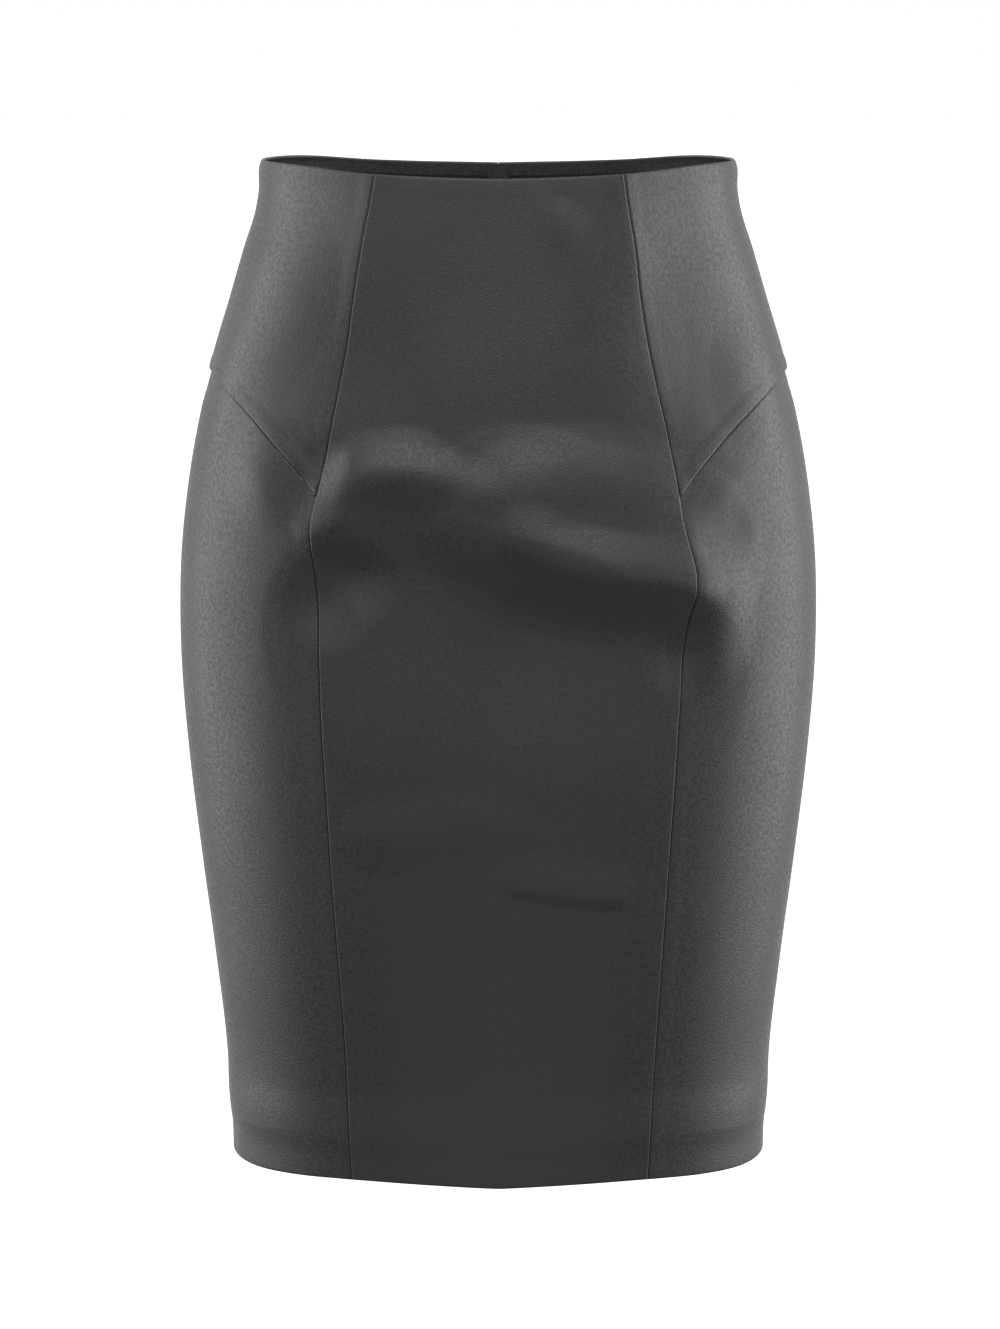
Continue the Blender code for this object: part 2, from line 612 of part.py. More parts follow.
def build_slider():
    """The slider: a body inside the tapes and a pierced neck that comes out through the seam."""
    top = np.array(ZIP_HEIGHT)
    face = float(cloth_point(np.array(180.0), top)[1])
    normal = normals_of(cloth_point, np.array(180.0), top)
    lean = math.atan2(float(normal[2]), float(normal[1]))
    inside = WALL + TAPE_SEAT + TAPE_THICKNESS + TAPE_SEAT
    hinge = (0.0, face + HINGE_OFFSET, ZIP_HEIGHT)
    reach = HINGE_HOLE + NECK_RIM
    neck = rounded(0, 0, reach, -90, 90, NECK_ARC_POINTS)
    neck += [(-HINGE_OFFSET - inside - SLIDER_THICKNESS / 2, reach)]
    neck += [(-HINGE_OFFSET - inside - SLIDER_THICKNESS / 2, -reach)]
    hole = rounded(0, 0, HINGE_HOLE, 0, 360 - 360 / HOLE_POINTS, HOLE_POINTS)
    blade = hidden("slider_neck", prism("slider_neck", neck, NECK_WIDTH / 2, [hole]))
    far = -HINGE_OFFSET - inside
    mesh = box(
        "zip_slider",
        (-SLIDER_HALF_WIDTH, far - SLIDER_THICKNESS, -SLIDER_HALF_LENGTH),
        (SLIDER_HALF_WIDTH, far, SLIDER_HALF_LENGTH),
    )
    slider = add_object("zip_slider", mesh, material("enamelled zinc slider", ENAMEL_GREY, 0.35, 0.6))
    bevel = slider.modifiers.new("bevel", "BEVEL")
    bevel.width = SLIDER_BEVEL
    bevel.segments = 2
    combine(slider, blade, "UNION")
    for thing in (slider, blade):
        thing.location = hinge
        thing.rotation_euler.x = lean
    return hinge, lean


def build_pull(hinge, lean):
    """The pull tab: a flat drop with a slot round the neck and a pin through it, hanging along the cloth."""
    half = PULL_THICKNESS / 2
    form = bmesh.new()
    outline = [(point.half_width, point.height) for point in PULL_OUTLINE]
    outline += [(-point.half_width, point.height) for point in reversed(PULL_OUTLINE)]
    ring = [form.verts.new((x, -half, z)) for x, z in outline]
    form.faces.new(ring)
    made = bmesh.ops.extrude_face_region(form, geom=form.faces[:])
    moved = [v for v in made["geom"] if isinstance(v, bmesh.types.BMVert)]
    bmesh.ops.translate(form, verts=moved, vec=(0, 2 * half, 0))
    bmesh.ops.recalc_face_normals(form, faces=form.faces[:])
    mesh = bpy.data.meshes.new("zip_pull")
    form.to_mesh(mesh)
    form.free()
    pull = add_object("zip_pull", mesh, material("enamelled zinc pull", ENAMEL_GREY, 0.35, 0.6))
    slot = hidden(
        "pull_slot",
        box(
            "pull_slot",
            (-PULL_SLOT_HALF, -PULL_SLOT_DEPTH, -PULL_SLOT_END),
            (PULL_SLOT_HALF, PULL_SLOT_DEPTH, PULL_SLOT_DEPTH),
        ),
    )
    pin = bpy.data.meshes.new("pull_pin")
    round_bar = bmesh.new()
    bmesh.ops.create_cone(
        round_bar,
        cap_ends=True,
        segments=PIN_SIDES,
        radius1=PIN_RADIUS,
        radius2=PIN_RADIUS,
        depth=2 * (PULL_HALF_WIDTH - PIN_INSET),
    )
    for vertex in round_bar.verts:
        vertex.co = (vertex.co.z, vertex.co.y, -vertex.co.x)
    round_bar.to_mesh(pin)
    round_bar.free()
    bar = hidden("pull_pin", pin)
    combine(pull, slot, "DIFFERENCE")
    combine(pull, bar, "UNION")
    for thing in (pull, slot, bar):
        thing.location = hinge
        thing.rotation_euler.x = lean


def main():
    clear_scene()
    build_fronts()
    left, right = build_backs()
    build_tapes(left, right)
    hinge, lean = build_slider()
    build_pull(hinge, lean)


main()
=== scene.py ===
import math
from functools import partial

import bpy
import numpy as np
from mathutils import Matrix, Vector


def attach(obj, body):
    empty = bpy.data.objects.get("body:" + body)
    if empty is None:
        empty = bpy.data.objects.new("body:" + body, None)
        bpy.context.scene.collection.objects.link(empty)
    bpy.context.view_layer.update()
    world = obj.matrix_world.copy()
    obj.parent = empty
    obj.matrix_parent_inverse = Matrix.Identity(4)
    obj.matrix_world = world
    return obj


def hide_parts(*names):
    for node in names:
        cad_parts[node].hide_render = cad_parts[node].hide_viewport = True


# A pencil skirt of heavy satin, filled out as it is worn. The front faces -Y and +X is the wearer's left.
# A place on the cloth is its turn, the angle in degrees from the centre front towards the wearer's left,
# and its height in metres. Each panel is a fine closed sheet on those places.

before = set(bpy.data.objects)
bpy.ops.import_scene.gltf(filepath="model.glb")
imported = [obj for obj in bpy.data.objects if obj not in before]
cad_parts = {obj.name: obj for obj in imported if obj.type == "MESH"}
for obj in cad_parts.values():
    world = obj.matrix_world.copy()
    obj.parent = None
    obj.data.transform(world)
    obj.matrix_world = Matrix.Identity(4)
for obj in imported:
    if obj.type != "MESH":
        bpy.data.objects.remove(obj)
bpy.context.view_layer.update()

skirt = {
    # height, half width, front depth, back depth, squareness (2 is an ellipse)
    "rings": [
        (0.0120, 0.1275, 0.1008, 0.0962, 2.20),
        (0.0090, 0.1296, 0.1011, 0.0970, 2.20),
        (0.0055, 0.1310, 0.1014, 0.0977, 2.20),
        (0.0000, 0.1316, 0.1019, 0.0984, 2.20),
        (-0.006, 0.1316, 0.1024, 0.0989, 2.20),
        (-0.016, 0.1330, 0.1032, 0.0997, 2.20),
        (-0.041, 0.1407, 0.1053, 0.1030, 2.16),
        (-0.069, 0.1490, 0.1076, 0.1075, 2.11),
        (-0.097, 0.1575, 0.1097, 0.1135, 2.11),
        (-0.124, 0.1636, 0.1116, 0.1195, 2.16),
        (-0.152, 0.1693, 0.1133, 0.1245, 2.19),
        (-0.180, 0.1735, 0.1146, 0.1275, 2.20),
        (-0.208, 0.1763, 0.1152, 0.1285, 2.20),
        (-0.236, 0.1773, 0.1149, 0.1275, 2.20),
        (-0.265, 0.1770, 0.1143, 0.1250, 2.20),
        (-0.321, 0.1730, 0.1126, 0.1180, 2.21),
        (-0.379, 0.1664, 0.1105, 0.1120, 2.23),
        (-0.436, 0.1592, 0.1080, 0.1070, 2.26),
        (-0.494, 0.1532, 0.1060, 0.1035, 2.25),
        (-0.518, 0.1524, 0.1057, 0.1026, 2.23),
        (-0.532, 0.1506, 0.1050, 0.1018, 2.21),
        (-0.550, 0.1501, 0.1048, 0.1013, 2.20),
    ],
    # height of the top edge, by how far out to the side it is (0 centre, 1 side)
    "rim": [
        (0, 0.0026), (0.37, 0.0040), (0.54, 0.0052), (0.65, 0.0065),
        (0.77, 0.0080), (0.90, 0.0089), (1, 0.0090),
    ],
    # height of the hem, by its turn
    "hem": [
        (0, -0.5463), (11, -0.5450), (28, -0.5444), (46, -0.5460),
        (62, -0.5473), (80, -0.5476), (110, -0.5470), (180, -0.5465),
    ],
    # height, distance of the two princess seams from the middle, on the wearer's right and left
    "princess": [
        (0.012, 0.0630, 0.0640), (-0.010, 0.0668, 0.0673), (-0.034, 0.0716, 0.0722), (-0.064, 0.0768, 0.0768),
        (-0.088, 0.0808, 0.0812), (-0.104, 0.0842, 0.0846), (-0.134, 0.0903, 0.0911), (-0.167, 0.0977, 0.0965),
        (-0.182, 0.1005, 0.0984), (-0.194, 0.1009, 0.1011), (-0.206, 0.1003, 0.1031), (-0.218, 0.0997, 0.1030),
        (-0.248, 0.0978, 0.1013), (-0.285, 0.0962, 0.0986), (-0.328, 0.0935, 0.0955), (-0.367, 0.0913, 0.0930),
        (-0.412, 0.0882, 0.0901), (-0.460, 0.0846, 0.0871), (-0.512, 0.0821, 0.0839), (-0.550, 0.0797, 0.0815),
    ],
    # height, how far the princess seams stand out on the wearer's right and left
    "seamRidge": [
        (0.012, 0.0038, 0.0050), (-0.034, 0.0034, 0.0040), (-0.064, 0.0023, 0.0010),
        (-0.086, 0.0008, 0), (-0.110, 0, 0), (-0.550, 0, 0),
    ],
    "ridgeReachFront": 0.060,
    "ridgeReachSide": 0.045,
    # height of the slanted yoke seams, from the princess seam (0) to the side seam (1)
    "yokeSeam": [
        (0, -0.1670), (0.10, -0.1522), (0.22, -0.1380), (0.39, -0.1228),
        (0.69, -0.1080), (0.85, -0.1063), (1, -0.1060),
    ],
    "sideSeamTurn": 96,
    "slitTop": -0.400,
    "slitHalfOpening": 0.0022,  # at the hem
    "neckHeight": -0.0145,  # of the zip slider's neck, for which the centre back seam makes room
    "neckRoom": 0.0007,
    "neckReach": 0.009,
    "neckEase": 1.6,  # over 1, the room stays whole for a while
}

# Creases, in millimetres: how far each stands out, its spread above and below its line, the share of its length
# over which it fades out at each end, and its line as (turn, height)
creases = {
    "bellyRidge": (2.2, 85, 85, 0.25, [(0, 60), (0, 0), (1, -45), (3, -80), (4, -115)]),
    "bellyHollow": (-1.8, 45, 45, 0.55, [(-4, 40), (-3, -10), (-2, -60), (-1, -105), (0, -140)]),
    "bellySwell": (2.0, 48, 48, 0.50, [(22, -15), (23, -60), (24, -105), (24, -150)]),
    "waistFold": (0.9, 16, 16, 0.35, [(8, -6), (13, -20), (17, -40), (17, -64), (14, -84)]),
    "yokeHollowLeft": (-5.0, 70, 70, 0.35, [(42, -20), (43, -50), (44, -85), (42, -115)]),
    "crestRight": (4.3, 28, 28, 0.24, [
        (-30, -188), (-29.5, -178), (-28, -168), (-24.5, -158), (-18, -153), (-12, -153), (-6, -157),
    ]),
    "crestMiddle": (1.5, 19, 23, 0.25, [
        (-30, -162), (-26, -154), (-20, -153), (-13, -155), (-7, -158), (-3, -161), (0, -166),
    ]),
    "swellLeft": (6.8, 75, 45, 0.20, [(-5, -180), (3, -191), (12, -202), (22, -207), (31, -212), (39, -221)]),
    "humpLeft": (2.9, 30, 32, 0.25, [(-4, -163), (5, -155), (14, -151), (23, -156), (30, -167)]),
    "crestLeft": (3.8, 27, 18, 0.20, [
        (1.5, -179), (4, -189), (9, -200), (15, -205), (21, -208), (28, -211), (34, -217), (38, -225),
    ]),
    "lobeCrestLeft": (2.1, 25, 25, 0.35, [
        (36, -205), (39, -212), (41, -223), (41.5, -236), (40, -249), (37, -260), (33, -268),
    ]),
    "hollowRight": (-5.8, 42, 110, 0.22, [(-20, -217), (-17, -214), (-10, -214), (2, -226), (12, -240)]),
    "hollowLeft": (-2.8, 34, 86, 0.20, [(2, -236), (12, -244), (22, -248), (32, -253)]),
    "lobeRight": (-4.4, 22, 34, 0.25, [(-30.5, -228), (-29.5, -218), (-26.5, -210), (-19, -206)]),
    "lobeLeft": (-2.2, 22, 26, 0.25, [(18, -227), (25, -230), (30, -238), (31.5, -252), (31, -266)]),
    "seamHollowRight": (-2.6, 20, 20, 0.35, [(-29, -138), (-31.5, -152), (-32.5, -166), (-31, -184)]),
    "yokeCrestRight": (2.6, 46, 46, 0.35, [(-46, -20), (-51, -50), (-57, -80), (-62, -108), (-66, -140)]),
    "hipCrestRight": (2.6, 32, 32, 0.45, [(-50, -126), (-47, -152), (-43.5, -180)]),
    "dimpleLeft": (-2.2, 26, 20, 0.40, [(36, -181), (42, -187), (48, -185)]),
    "hipBumpLeft": (2.2, 38, 38, 0.40, [(62, -85), (61, -110), (60, -130)]),
    "hemFlare": (1.6, 50, 30, 0.20, [(-88, -545), (-44, -542), (0, -541.5), (44, -542), (88, -545)]),
    "lowCrest": (1.2, 24, 8, 0.30, [(-2, -372), (6, -379), (16, -384), (26, -388)]),
    "lowWave": (1.4, 26, 24, 0.30, [(-30, -356), (-16, -350), (-4, -344), (6, -350)]),
    "backDragLeft": (2.6, 34, 20, 0.45, [(104, -196), (124, -218), (144, -236), (162, -246), (178, -248)]),
    "backDragRight": (2.2, 22, 34, 0.45, [
        (-108, -252), (-126, -256), (-144, -252), (-162, -262), (-176, -276),
    ]),
    "backDragLow": (1.4, 20, 28, 0.45, [(118, -262), (136, -280), (154, -291), (172, -295)]),
    "backWaist": (-1.6, 22, 26, 0.45, [(140, -52), (156, -64), (172, -70), (188, -68), (204, -58)]),
}
creaseSteps = 61  # places along a crease's line
creaseEndSpread = 0.5  # share of its spread that a crease keeps at its ends
creaseBlend = 8  # how much the nearest place counts over the rest

cloth = {
    "wall": 0.0009,
    "turnedWall": 0.0017,  # at the turned-in top edge and the turned-up hem
    "turnedStep": 0.0016,  # length over which a turning thins out into the wall
    "turnedRise": 0.00024,  # the turned cloth stands out that much, over a soft step
    "turnedReach": 0.0030,
    "turnedInFront": 0.3,  # share of that rise in front and behind; it is whole at the sides
    "turnedSides": (0.6, 0.9),  # how far out to the side it grows from one to the other
    "topTurning": 0.0085,
    "hemTurning": 0.026,
    "edgeRound": 0.9,  # of a free edge, as a share of half the turned wall
    "rollRadius": 0.0012,  # where the cloth turns down into a seam
    "rollDepth": 0.0010,
    "yokeStep": 0.0014,  # the cloth under a yoke seam lies in from the yoke
    "yokeStepReach": 0.022,
    "pressedWidth": 0.0075,  # seam allowances under the cloth raise it a little
    "pressedStart": 0.0012,
    "pressedEnd": 0.0018,
    "pressedRise": 0.00012,
    "yokePressedRise": 0.0005,
    "yokeRollRadius": 0.0015,
    "yokeRollDepth": 0.0011,
    "dartTurn": 146,
    "dartLength": 0.125,
    "dartFade": 0.4,  # share of that length over which the dart runs out
    "dartDip": 0.0006,
    "dartRadius": 0.0016,
    "columnStep": 0.0026,
    "rowStep": 0.0026,
    "sharpAngle": 50,
}


def smoothThrough(rows, column, at):
    # a smooth curve through one column of a table whose first column is the key
    keys = np.array([row[0] for row in rows], float)
    values = np.array([row[column] for row in rows], float)
    if keys[0] > keys[-1]:
        keys, values = keys[::-1], values[::-1]
    slopes = np.gradient(values, keys)
    at = np.clip(at, keys[0], keys[-1])
    i = np.clip(np.searchsorted(keys, at) - 1, 0, len(keys) - 2)
    span = keys[i + 1] - keys[i]
    t = (at - keys[i]) / span
    return (
        values[i] * (2 * t**3 - 3 * t**2 + 1)
        + slopes[i] * span * (t**3 - 2 * t**2 + t)
        + values[i + 1] * (3 * t**2 - 2 * t**3)
        + slopes[i + 1] * span * (t**3 - t**2)
    )


def skirtAt(table, column, at):
    return smoothThrough(skirt[table], column, at)


def smoothStep(t):
    t = np.clip(t, 0.0, 1.0)
    return t * t * (3 - 2 * t)


def formPoint(turn, height):
    # the smooth worn form, without creases
    angle = np.radians(turn)
    side, ahead = np.sin(angle), np.cos(angle)
    power = 2 / skirtAt("rings", 4, height)
    depth = np.where(ahead > 0, skirtAt("rings", 2, height), skirtAt("rings", 3, height))
    x = skirtAt("rings", 1, height) * np.sign(side) * np.abs(side) ** power
    y = -depth * np.sign(ahead) * np.abs(ahead) ** power
    return np.stack([x, y, height + 0 * x], axis=-1)


def unit(vectors):
    return vectors / np.linalg.norm(vectors, axis=-1, keepdims=True)


turnStep, heightStep = 0.05, 0.0002  # short ways in degrees and metres, for the form's directions


def formNormal(turn, height):
    aroundStep = formPoint(turn + turnStep, height) - formPoint(turn - turnStep, height)
    upStep = formPoint(turn, height + heightStep) - formPoint(turn, height - heightStep)
    return unit(np.cross(aroundStep, upStep))


def gridNormals(points):
    downStep, acrossStep = np.gradient(points, axis=(0, 1))
    return unit(np.cross(acrossStep, -downStep))


def creaseLift(crease, points):
    # how far one crease moves each point out: the places along its line blend softly, the nearest most
    rise, above, below = (size / 1000 for size in crease[:3])
    ends, places = crease[3:]
    rows = [(key, turn, height / 1000) for key, (turn, height) in enumerate(places)]
    share = np.linspace(0, 1, creaseSteps)[1:-1]
    keys = share * (len(rows) - 1)
    line = formPoint(smoothThrough(rows, 1, keys), smoothThrough(rows, 2, keys))
    lift = np.zeros(points.shape[:-1])
    reach = max(above, below)
    near = ((points > line.min(0) - reach) & (points < line.max(0) + reach)).all(-1)
    offset = points[near][:, None, :] - line
    gap = np.linalg.norm(offset, axis=-1)
    upper = 0.5 + 0.5 * offset[..., 2] / np.maximum(gap, 1e-6)
    full = smoothStep(np.minimum(share, 1 - share) / ends)
    spread = (below + (above - below) * upper) * (creaseEndSpread + (1 - creaseEndSpread) * full)
    each = full * np.cos(np.pi / 2 * np.clip(gap / spread, 0, 1)) ** 2
    weight = each**creaseBlend + 1e-12
    lift[near] = rise * (each * weight).sum(-1) / weight.sum(-1)
    return lift


def lengthPerDegree(turn, height):
    return np.linalg.norm(formPoint(turn + 1, height) - formPoint(turn - 1, height), axis=-1) / 2


def ridgeLift(turn, height):
    # the front turns a corner at each princess seam: round on the panel's side and sharp on the yoke's
    lift = 0 * turn
    for edge, outward, column in ((princessRight(height), -1, 1), (princessLeft(height), 1, 2)):
        beyond = (turn - edge) * outward * lengthPerDegree(edge, height)
        front = np.cos(np.pi / 2 * np.clip(-beyond / skirt["ridgeReachFront"], 0, 1)) ** 2
        side = (1 - np.clip(beyond / skirt["ridgeReachSide"], 0, 1)) ** 2
        rise = np.maximum(skirtAt("seamRidge", column, height), 0)
        lift = lift + rise * np.where(beyond < 0, front, side)
    return lift


def clothPoint(turn, height):
    points = formPoint(turn, height)
    lift = sum(creaseLift(crease, points) for crease in creases.values()) + ridgeLift(turn, height)
    return points + lift[..., None] * formNormal(turn, height)


def turnAt(distance, height):
    # the turn at which the form is this far from the middle plane, on the front
    share = np.clip(distance / skirtAt("rings", 1, height), -1, 1)
    squareness = skirtAt("rings", 4, height)
    return np.degrees(np.arcsin(np.sign(share) * np.abs(share) ** (squareness / 2)))


# The panels' standing edges give a turn for a height
def princessRight(height):
    return turnAt(-skirtAt("princess", 1, height), height)


def princessLeft(height):
    return turnAt(skirtAt("princess", 2, height), height)


def sideSeamLeft(height):
    return skirt["sideSeamTurn"] + 0 * height


def sideSeamRight(height):
    return -sideSeamLeft(height)


def backEdgeLeft(height):
    # close to the middle, but for the zip's neck and the walking slit
    near = 1 - np.abs(height - skirt["neckHeight"]) / skirt["neckReach"]
    down = (skirt["slitTop"] - height) / (skirt["slitTop"] - skirt["hem"][-1][1])
    room = skirt["neckRoom"] * smoothStep(skirt["neckEase"] * near)
    return 180 - turnAt(room + skirt["slitHalfOpening"] * smoothStep(down), height)


def backEdgeRight(height):
    return -backEdgeLeft(height)


# Their tops and bottoms give a height for a turn and the share of the way from the first edge to the last
def rim(turn, share):
    return skirtAt("rim", 1, np.abs(np.sin(np.radians(turn))))


def hem(turn, share):
    return skirtAt("hem", 1, np.abs(turn))


def yokeSeamLeft(turn, share):
    return skirtAt("yokeSeam", 1, share)


def yokeSeamRight(turn, share):
    return skirtAt("yokeSeam", 1, 1 - share)


# Where the lines of a panel's grid run, in millimetres from a seam, a free edge, a dart and a turning's end
edgeSteps = np.array([0.05, 0.16, 0.34, 0.6, 0.9, 1.3, 2.0, 3.2, 4.8, 6.4, 8.0]) / 1000
freeSteps = np.array([0.0, 0.12, 0.35, 0.7, 1.2, 2.0, 3.5, 5.5]) / 1000
dartSteps = np.array([-3.0, -1.8, -1.2, -0.7, -0.3, 0.0, 0.3, 0.7, 1.2, 1.8, 3.0]) / 1000
turningSteps = np.array([-1.4, -0.8, -0.4, 0.0, 0.4, 0.8, 1.4]) / 1000
betweenSteps = np.arange(8.0, 24.5, 2.6) / 1000  # between the hem's edge and its turning's end
topSteps = np.concatenate([freeSteps, cloth["topTurning"] + turningSteps])
hemSteps = np.concatenate([freeSteps, betweenSteps, cloth["hemTurning"] + turningSteps])
fineSteps = 81  # along each row, to measure its length


def columnShares(firstEdge, lastEdge, heights, dartTurn, counts):
    # shares of the way across each row, close together at the edges and at a dart, and even between them
    fine = np.linspace(0, 1, fineSteps)
    first, last = firstEdge(heights)[:, None], lastEdge(heights)[:, None]
    line = formPoint(first + (last - first) * fine, heights[:, None] + 0 * fine)
    run = np.cumsum(np.linalg.norm(np.diff(line, axis=1), axis=-1), axis=1)
    run = np.concatenate([np.zeros((len(heights), 1)), run], axis=1)
    stops = [0.0] if dartTurn is None else [0.0, (dartTurn - first[0, 0]) / (last[0, 0] - first[0, 0])]
    if counts is None:
        most = run[:, -1].max() / cloth["columnStep"]
        counts = [max(2, round((b - a) * most)) for a, b in zip(stops, stops[1:] + [1.0])]
    found = []
    for row, length in enumerate(run[:, -1]):
        places = [edgeSteps]
        for stop, count in zip(stops[1:], counts):
            block = np.interp(stop, fine, run[row]) + dartSteps
            places += [np.linspace(places[-1][-1], block[0], count + 1)[1:-1], block]
        ending = length - edgeSteps[::-1]
        places += [np.linspace(places[-1][-1], ending[0], counts[-1] + 1)[1:-1], ending]
        arc = np.concatenate(places)
        found.append((np.interp(arc, run[row], fine), arc, length))
    return counts, *[np.array(part) for part in zip(*found)]


def seamRoll(distance, radius=cloth["rollRadius"], depth=cloth["rollDepth"]):
    # a quarter round down into the seam
    t = 1 - np.clip(distance / radius, 0, 1)
    return depth * (1 - np.sqrt(1 - t * t))


def pressedUnder(distance, rise):
    # the cloth stands out a little over the seam allowance under it
    start = smoothStep(distance / cloth["pressedStart"])
    return rise * start * smoothStep((cloth["pressedWidth"] - distance) / cloth["pressedEnd"])


def addObject(name, data):
    made = bpy.data.objects.new(name, data)
    bpy.context.scene.collection.objects.link(made)
    return made


def closedSheet(name, outer, inner, across, height):
    # a closed wall between two grids of points with rows down and columns in increasing turn
    rows, columns = outer.shape[:2]
    index = np.arange(rows * columns).reshape(rows, columns)
    a, b, c, d = index[:-1, :-1], index[1:, :-1], index[1:, 1:], index[:-1, 1:]
    front = np.stack([a, b, c, d], axis=-1).reshape(-1, 4)
    back = np.stack([a, d, c, b], axis=-1).reshape(-1, 4) + rows * columns
    loop = np.concatenate([index[0, :-1], index[:-1, -1], index[-1, :0:-1], index[:0:-1, 0]])
    after = np.roll(loop, -1)
    wall = np.stack([loop, after, after + rows * columns, loop + rows * columns], axis=-1)
    faces = np.concatenate([front, back, wall])
    mesh = bpy.data.meshes.new(name)
    mesh.from_pydata(np.concatenate([outer.reshape(-1, 3), inner.reshape(-1, 3)]).tolist(), [], faces.tolist())
    places = np.stack([across, height], axis=-1).reshape(-1, 2)
    layer = mesh.uv_layers.new(name="clothPlace")
    layer.data.foreach_set("uv", np.tile(places, (2, 1))[faces.ravel()].astype(np.float32).ravel())
    mesh.shade_smooth()
    mesh.set_sharp_from_angle(angle=math.radians(cloth["sharpAngle"]))
    return addObject(name, mesh)


def panelGrid(firstEdge, lastEdge, highEdge, lowEdge, dartTurn):
    # the places of one panel's grid: turn, height and distances from its four edges
    highSteps = topSteps if highEdge is rim else edgeSteps
    lowSteps = hemSteps if lowEdge is hem else edgeSteps
    guess = np.array([highEdge(firstEdge(0), 0), lowEdge(firstEdge(-0.5), 0)], float)  # of its top and bottom
    count = max(3, round(abs(guess[0] - guess[1]) / cloth["rowStep"]))
    high, low = np.full((1, 1), guess[0]), np.full((1, 1), guess[1])
    highStretch = lowStretch = 1.0
    counts = None
    for _ in range(3):  # the rows and the edges settle on each other
        top = high - highSteps[:, None] * highStretch
        bottom = low + lowSteps[::-1][:, None] * lowStretch
        t = np.linspace(0, 1, count + 1)[1:-1, None]
        between = top[-1:] * (1 - t) + bottom[:1] * t
        height = np.concatenate([top, between, bottom])
        counts, shares, arc, width = columnShares(firstEdge, lastEdge, height.mean(axis=1), dartTurn, counts)
        height = height + 0 * shares
        turn = firstEdge(height) * (1 - shares) + lastEdge(height) * shares
        high, low = highEdge(turn[:1], shares[:1]), lowEdge(turn[-1:], shares[-1:])
        highStretch = np.sqrt(1 + (np.gradient(high, axis=1) / np.gradient(arc[:1], axis=1)) ** 2)
        lowStretch = np.sqrt(1 + (np.gradient(low, axis=1) / np.gradient(arc[-1:], axis=1)) ** 2)
    up, down = (high - height) / highStretch, (height - low) / lowStretch
    return turn, height, {"first": arc, "last": width[:, None] - arc, "high": up, "low": down}


def panel(name, firstEdge, lastEdge, highEdge, lowEdge, dartTurn):
    turn, height, away = panelGrid(firstEdge, lastEdge, highEdge, lowEdge, dartTurn)
    points = clothPoint(turn, height)
    normal = gridNormals(points)
    seams = [away["first"], away["last"]]
    if highEdge is not rim:
        seams.append(away["high"])
    if lowEdge is not hem:
        seams.append(away["low"])
    dip = np.max([seamRoll(distance) for distance in seams], axis=0)
    rise = np.max([pressedUnder(distance, cloth["pressedRise"]) for distance in seams], axis=0)
    if lowEdge is not hem:
        rise = np.maximum(rise, pressedUnder(away["low"], cloth["yokePressedRise"]))
        dip = np.maximum(dip, seamRoll(away["low"], cloth["yokeRollRadius"], cloth["yokeRollDepth"]))
    wall = cloth["wall"] + 0 * dip
    innerDip = 0 * dip
    half, step, reach = cloth["turnedWall"] / 2, cloth["turnedStep"], cloth["turnedReach"]
    start, end = cloth["turnedSides"]
    atSides = smoothStep((np.abs(np.sin(np.radians(turn))) - start) / (end - start))
    shown = cloth["turnedInFront"] + (1 - cloth["turnedInFront"]) * atSides
    for isFree, distance, turning in (
        (highEdge is rim, away["high"], cloth["topTurning"]),
        (lowEdge is hem, away["low"], cloth["hemTurning"]),
    ):
        if isFree:
            wall += (cloth["turnedWall"] - cloth["wall"]) * smoothStep((turning + step / 2 - distance) / step)
            rise += cloth["turnedRise"] * smoothStep((turning + reach - distance) / (2 * reach)) * shown
            t = 1 - np.clip(distance / half, 0, 1)
            fold = cloth["edgeRound"] * half * (1 - np.sqrt(1 - t * t))
            dip = np.maximum(dip, fold)
            innerDip = np.maximum(innerDip, fold)
    if lowEdge is hem and highEdge is not rim:
        dip = dip + cloth["yokeStep"] * smoothStep(1 - away["high"] / cloth["yokeStepReach"])
    if dartTurn is not None:
        across = np.abs(turn - dartTurn) * math.radians(1) * np.linalg.norm(points[..., :2], axis=-1)
        fade = smoothStep((height + cloth["dartLength"]) / (cloth["dartFade"] * cloth["dartLength"]))
        groove = 1 - np.clip(across / cloth["dartRadius"], 0, 1)
        dip = dip + cloth["dartDip"] * fade * (1 - np.sqrt(1 - groove * groove))
    outer = points + normal * (rise - dip)[..., None]
    inner = points - normal * (wall + np.maximum(dip - cloth["rollDepth"], 0) - innerDip)[..., None]
    made = closedSheet(name, outer, inner, (away["first"] - away["last"]) / 2, height)
    return dress(made, satin)


def dress(made, material):
    if not made.data.materials:
        made.data.materials.append(material)
    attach(made, "skirt")
    return made


def fromHex(colour):
    parts = [int(colour[i:i + 2], 16) / 255 for i in (1, 3, 5)]
    return (*[p / 12.92 if p <= 0.04045 else ((p + 0.055) / 1.055) ** 2.4 for p in parts], 1.0)


def setInputs(node, inputs):
    # an output is linked, a node stands for its first output, and anything else is the socket's own value
    for name, value in inputs.items():
        if isinstance(value, bpy.types.Node):
            value = value.outputs[0]
        if isinstance(value, bpy.types.NodeSocket):
            node.id_data.links.new(value, node.inputs[name])
        else:
            node.inputs[name].default_value = value


def addNode(tree, kind, inputs=None, **settings):
    node = tree.nodes.new(kind)
    for name, value in settings.items():
        setattr(node, name, value)
    setInputs(node, inputs or {})
    return node


def newMaterial(name):
    material = bpy.data.materials.new(name)
    material.use_nodes = True
    tree = material.node_tree
    return material, partial(addNode, tree), tree.nodes["Principled BSDF"]


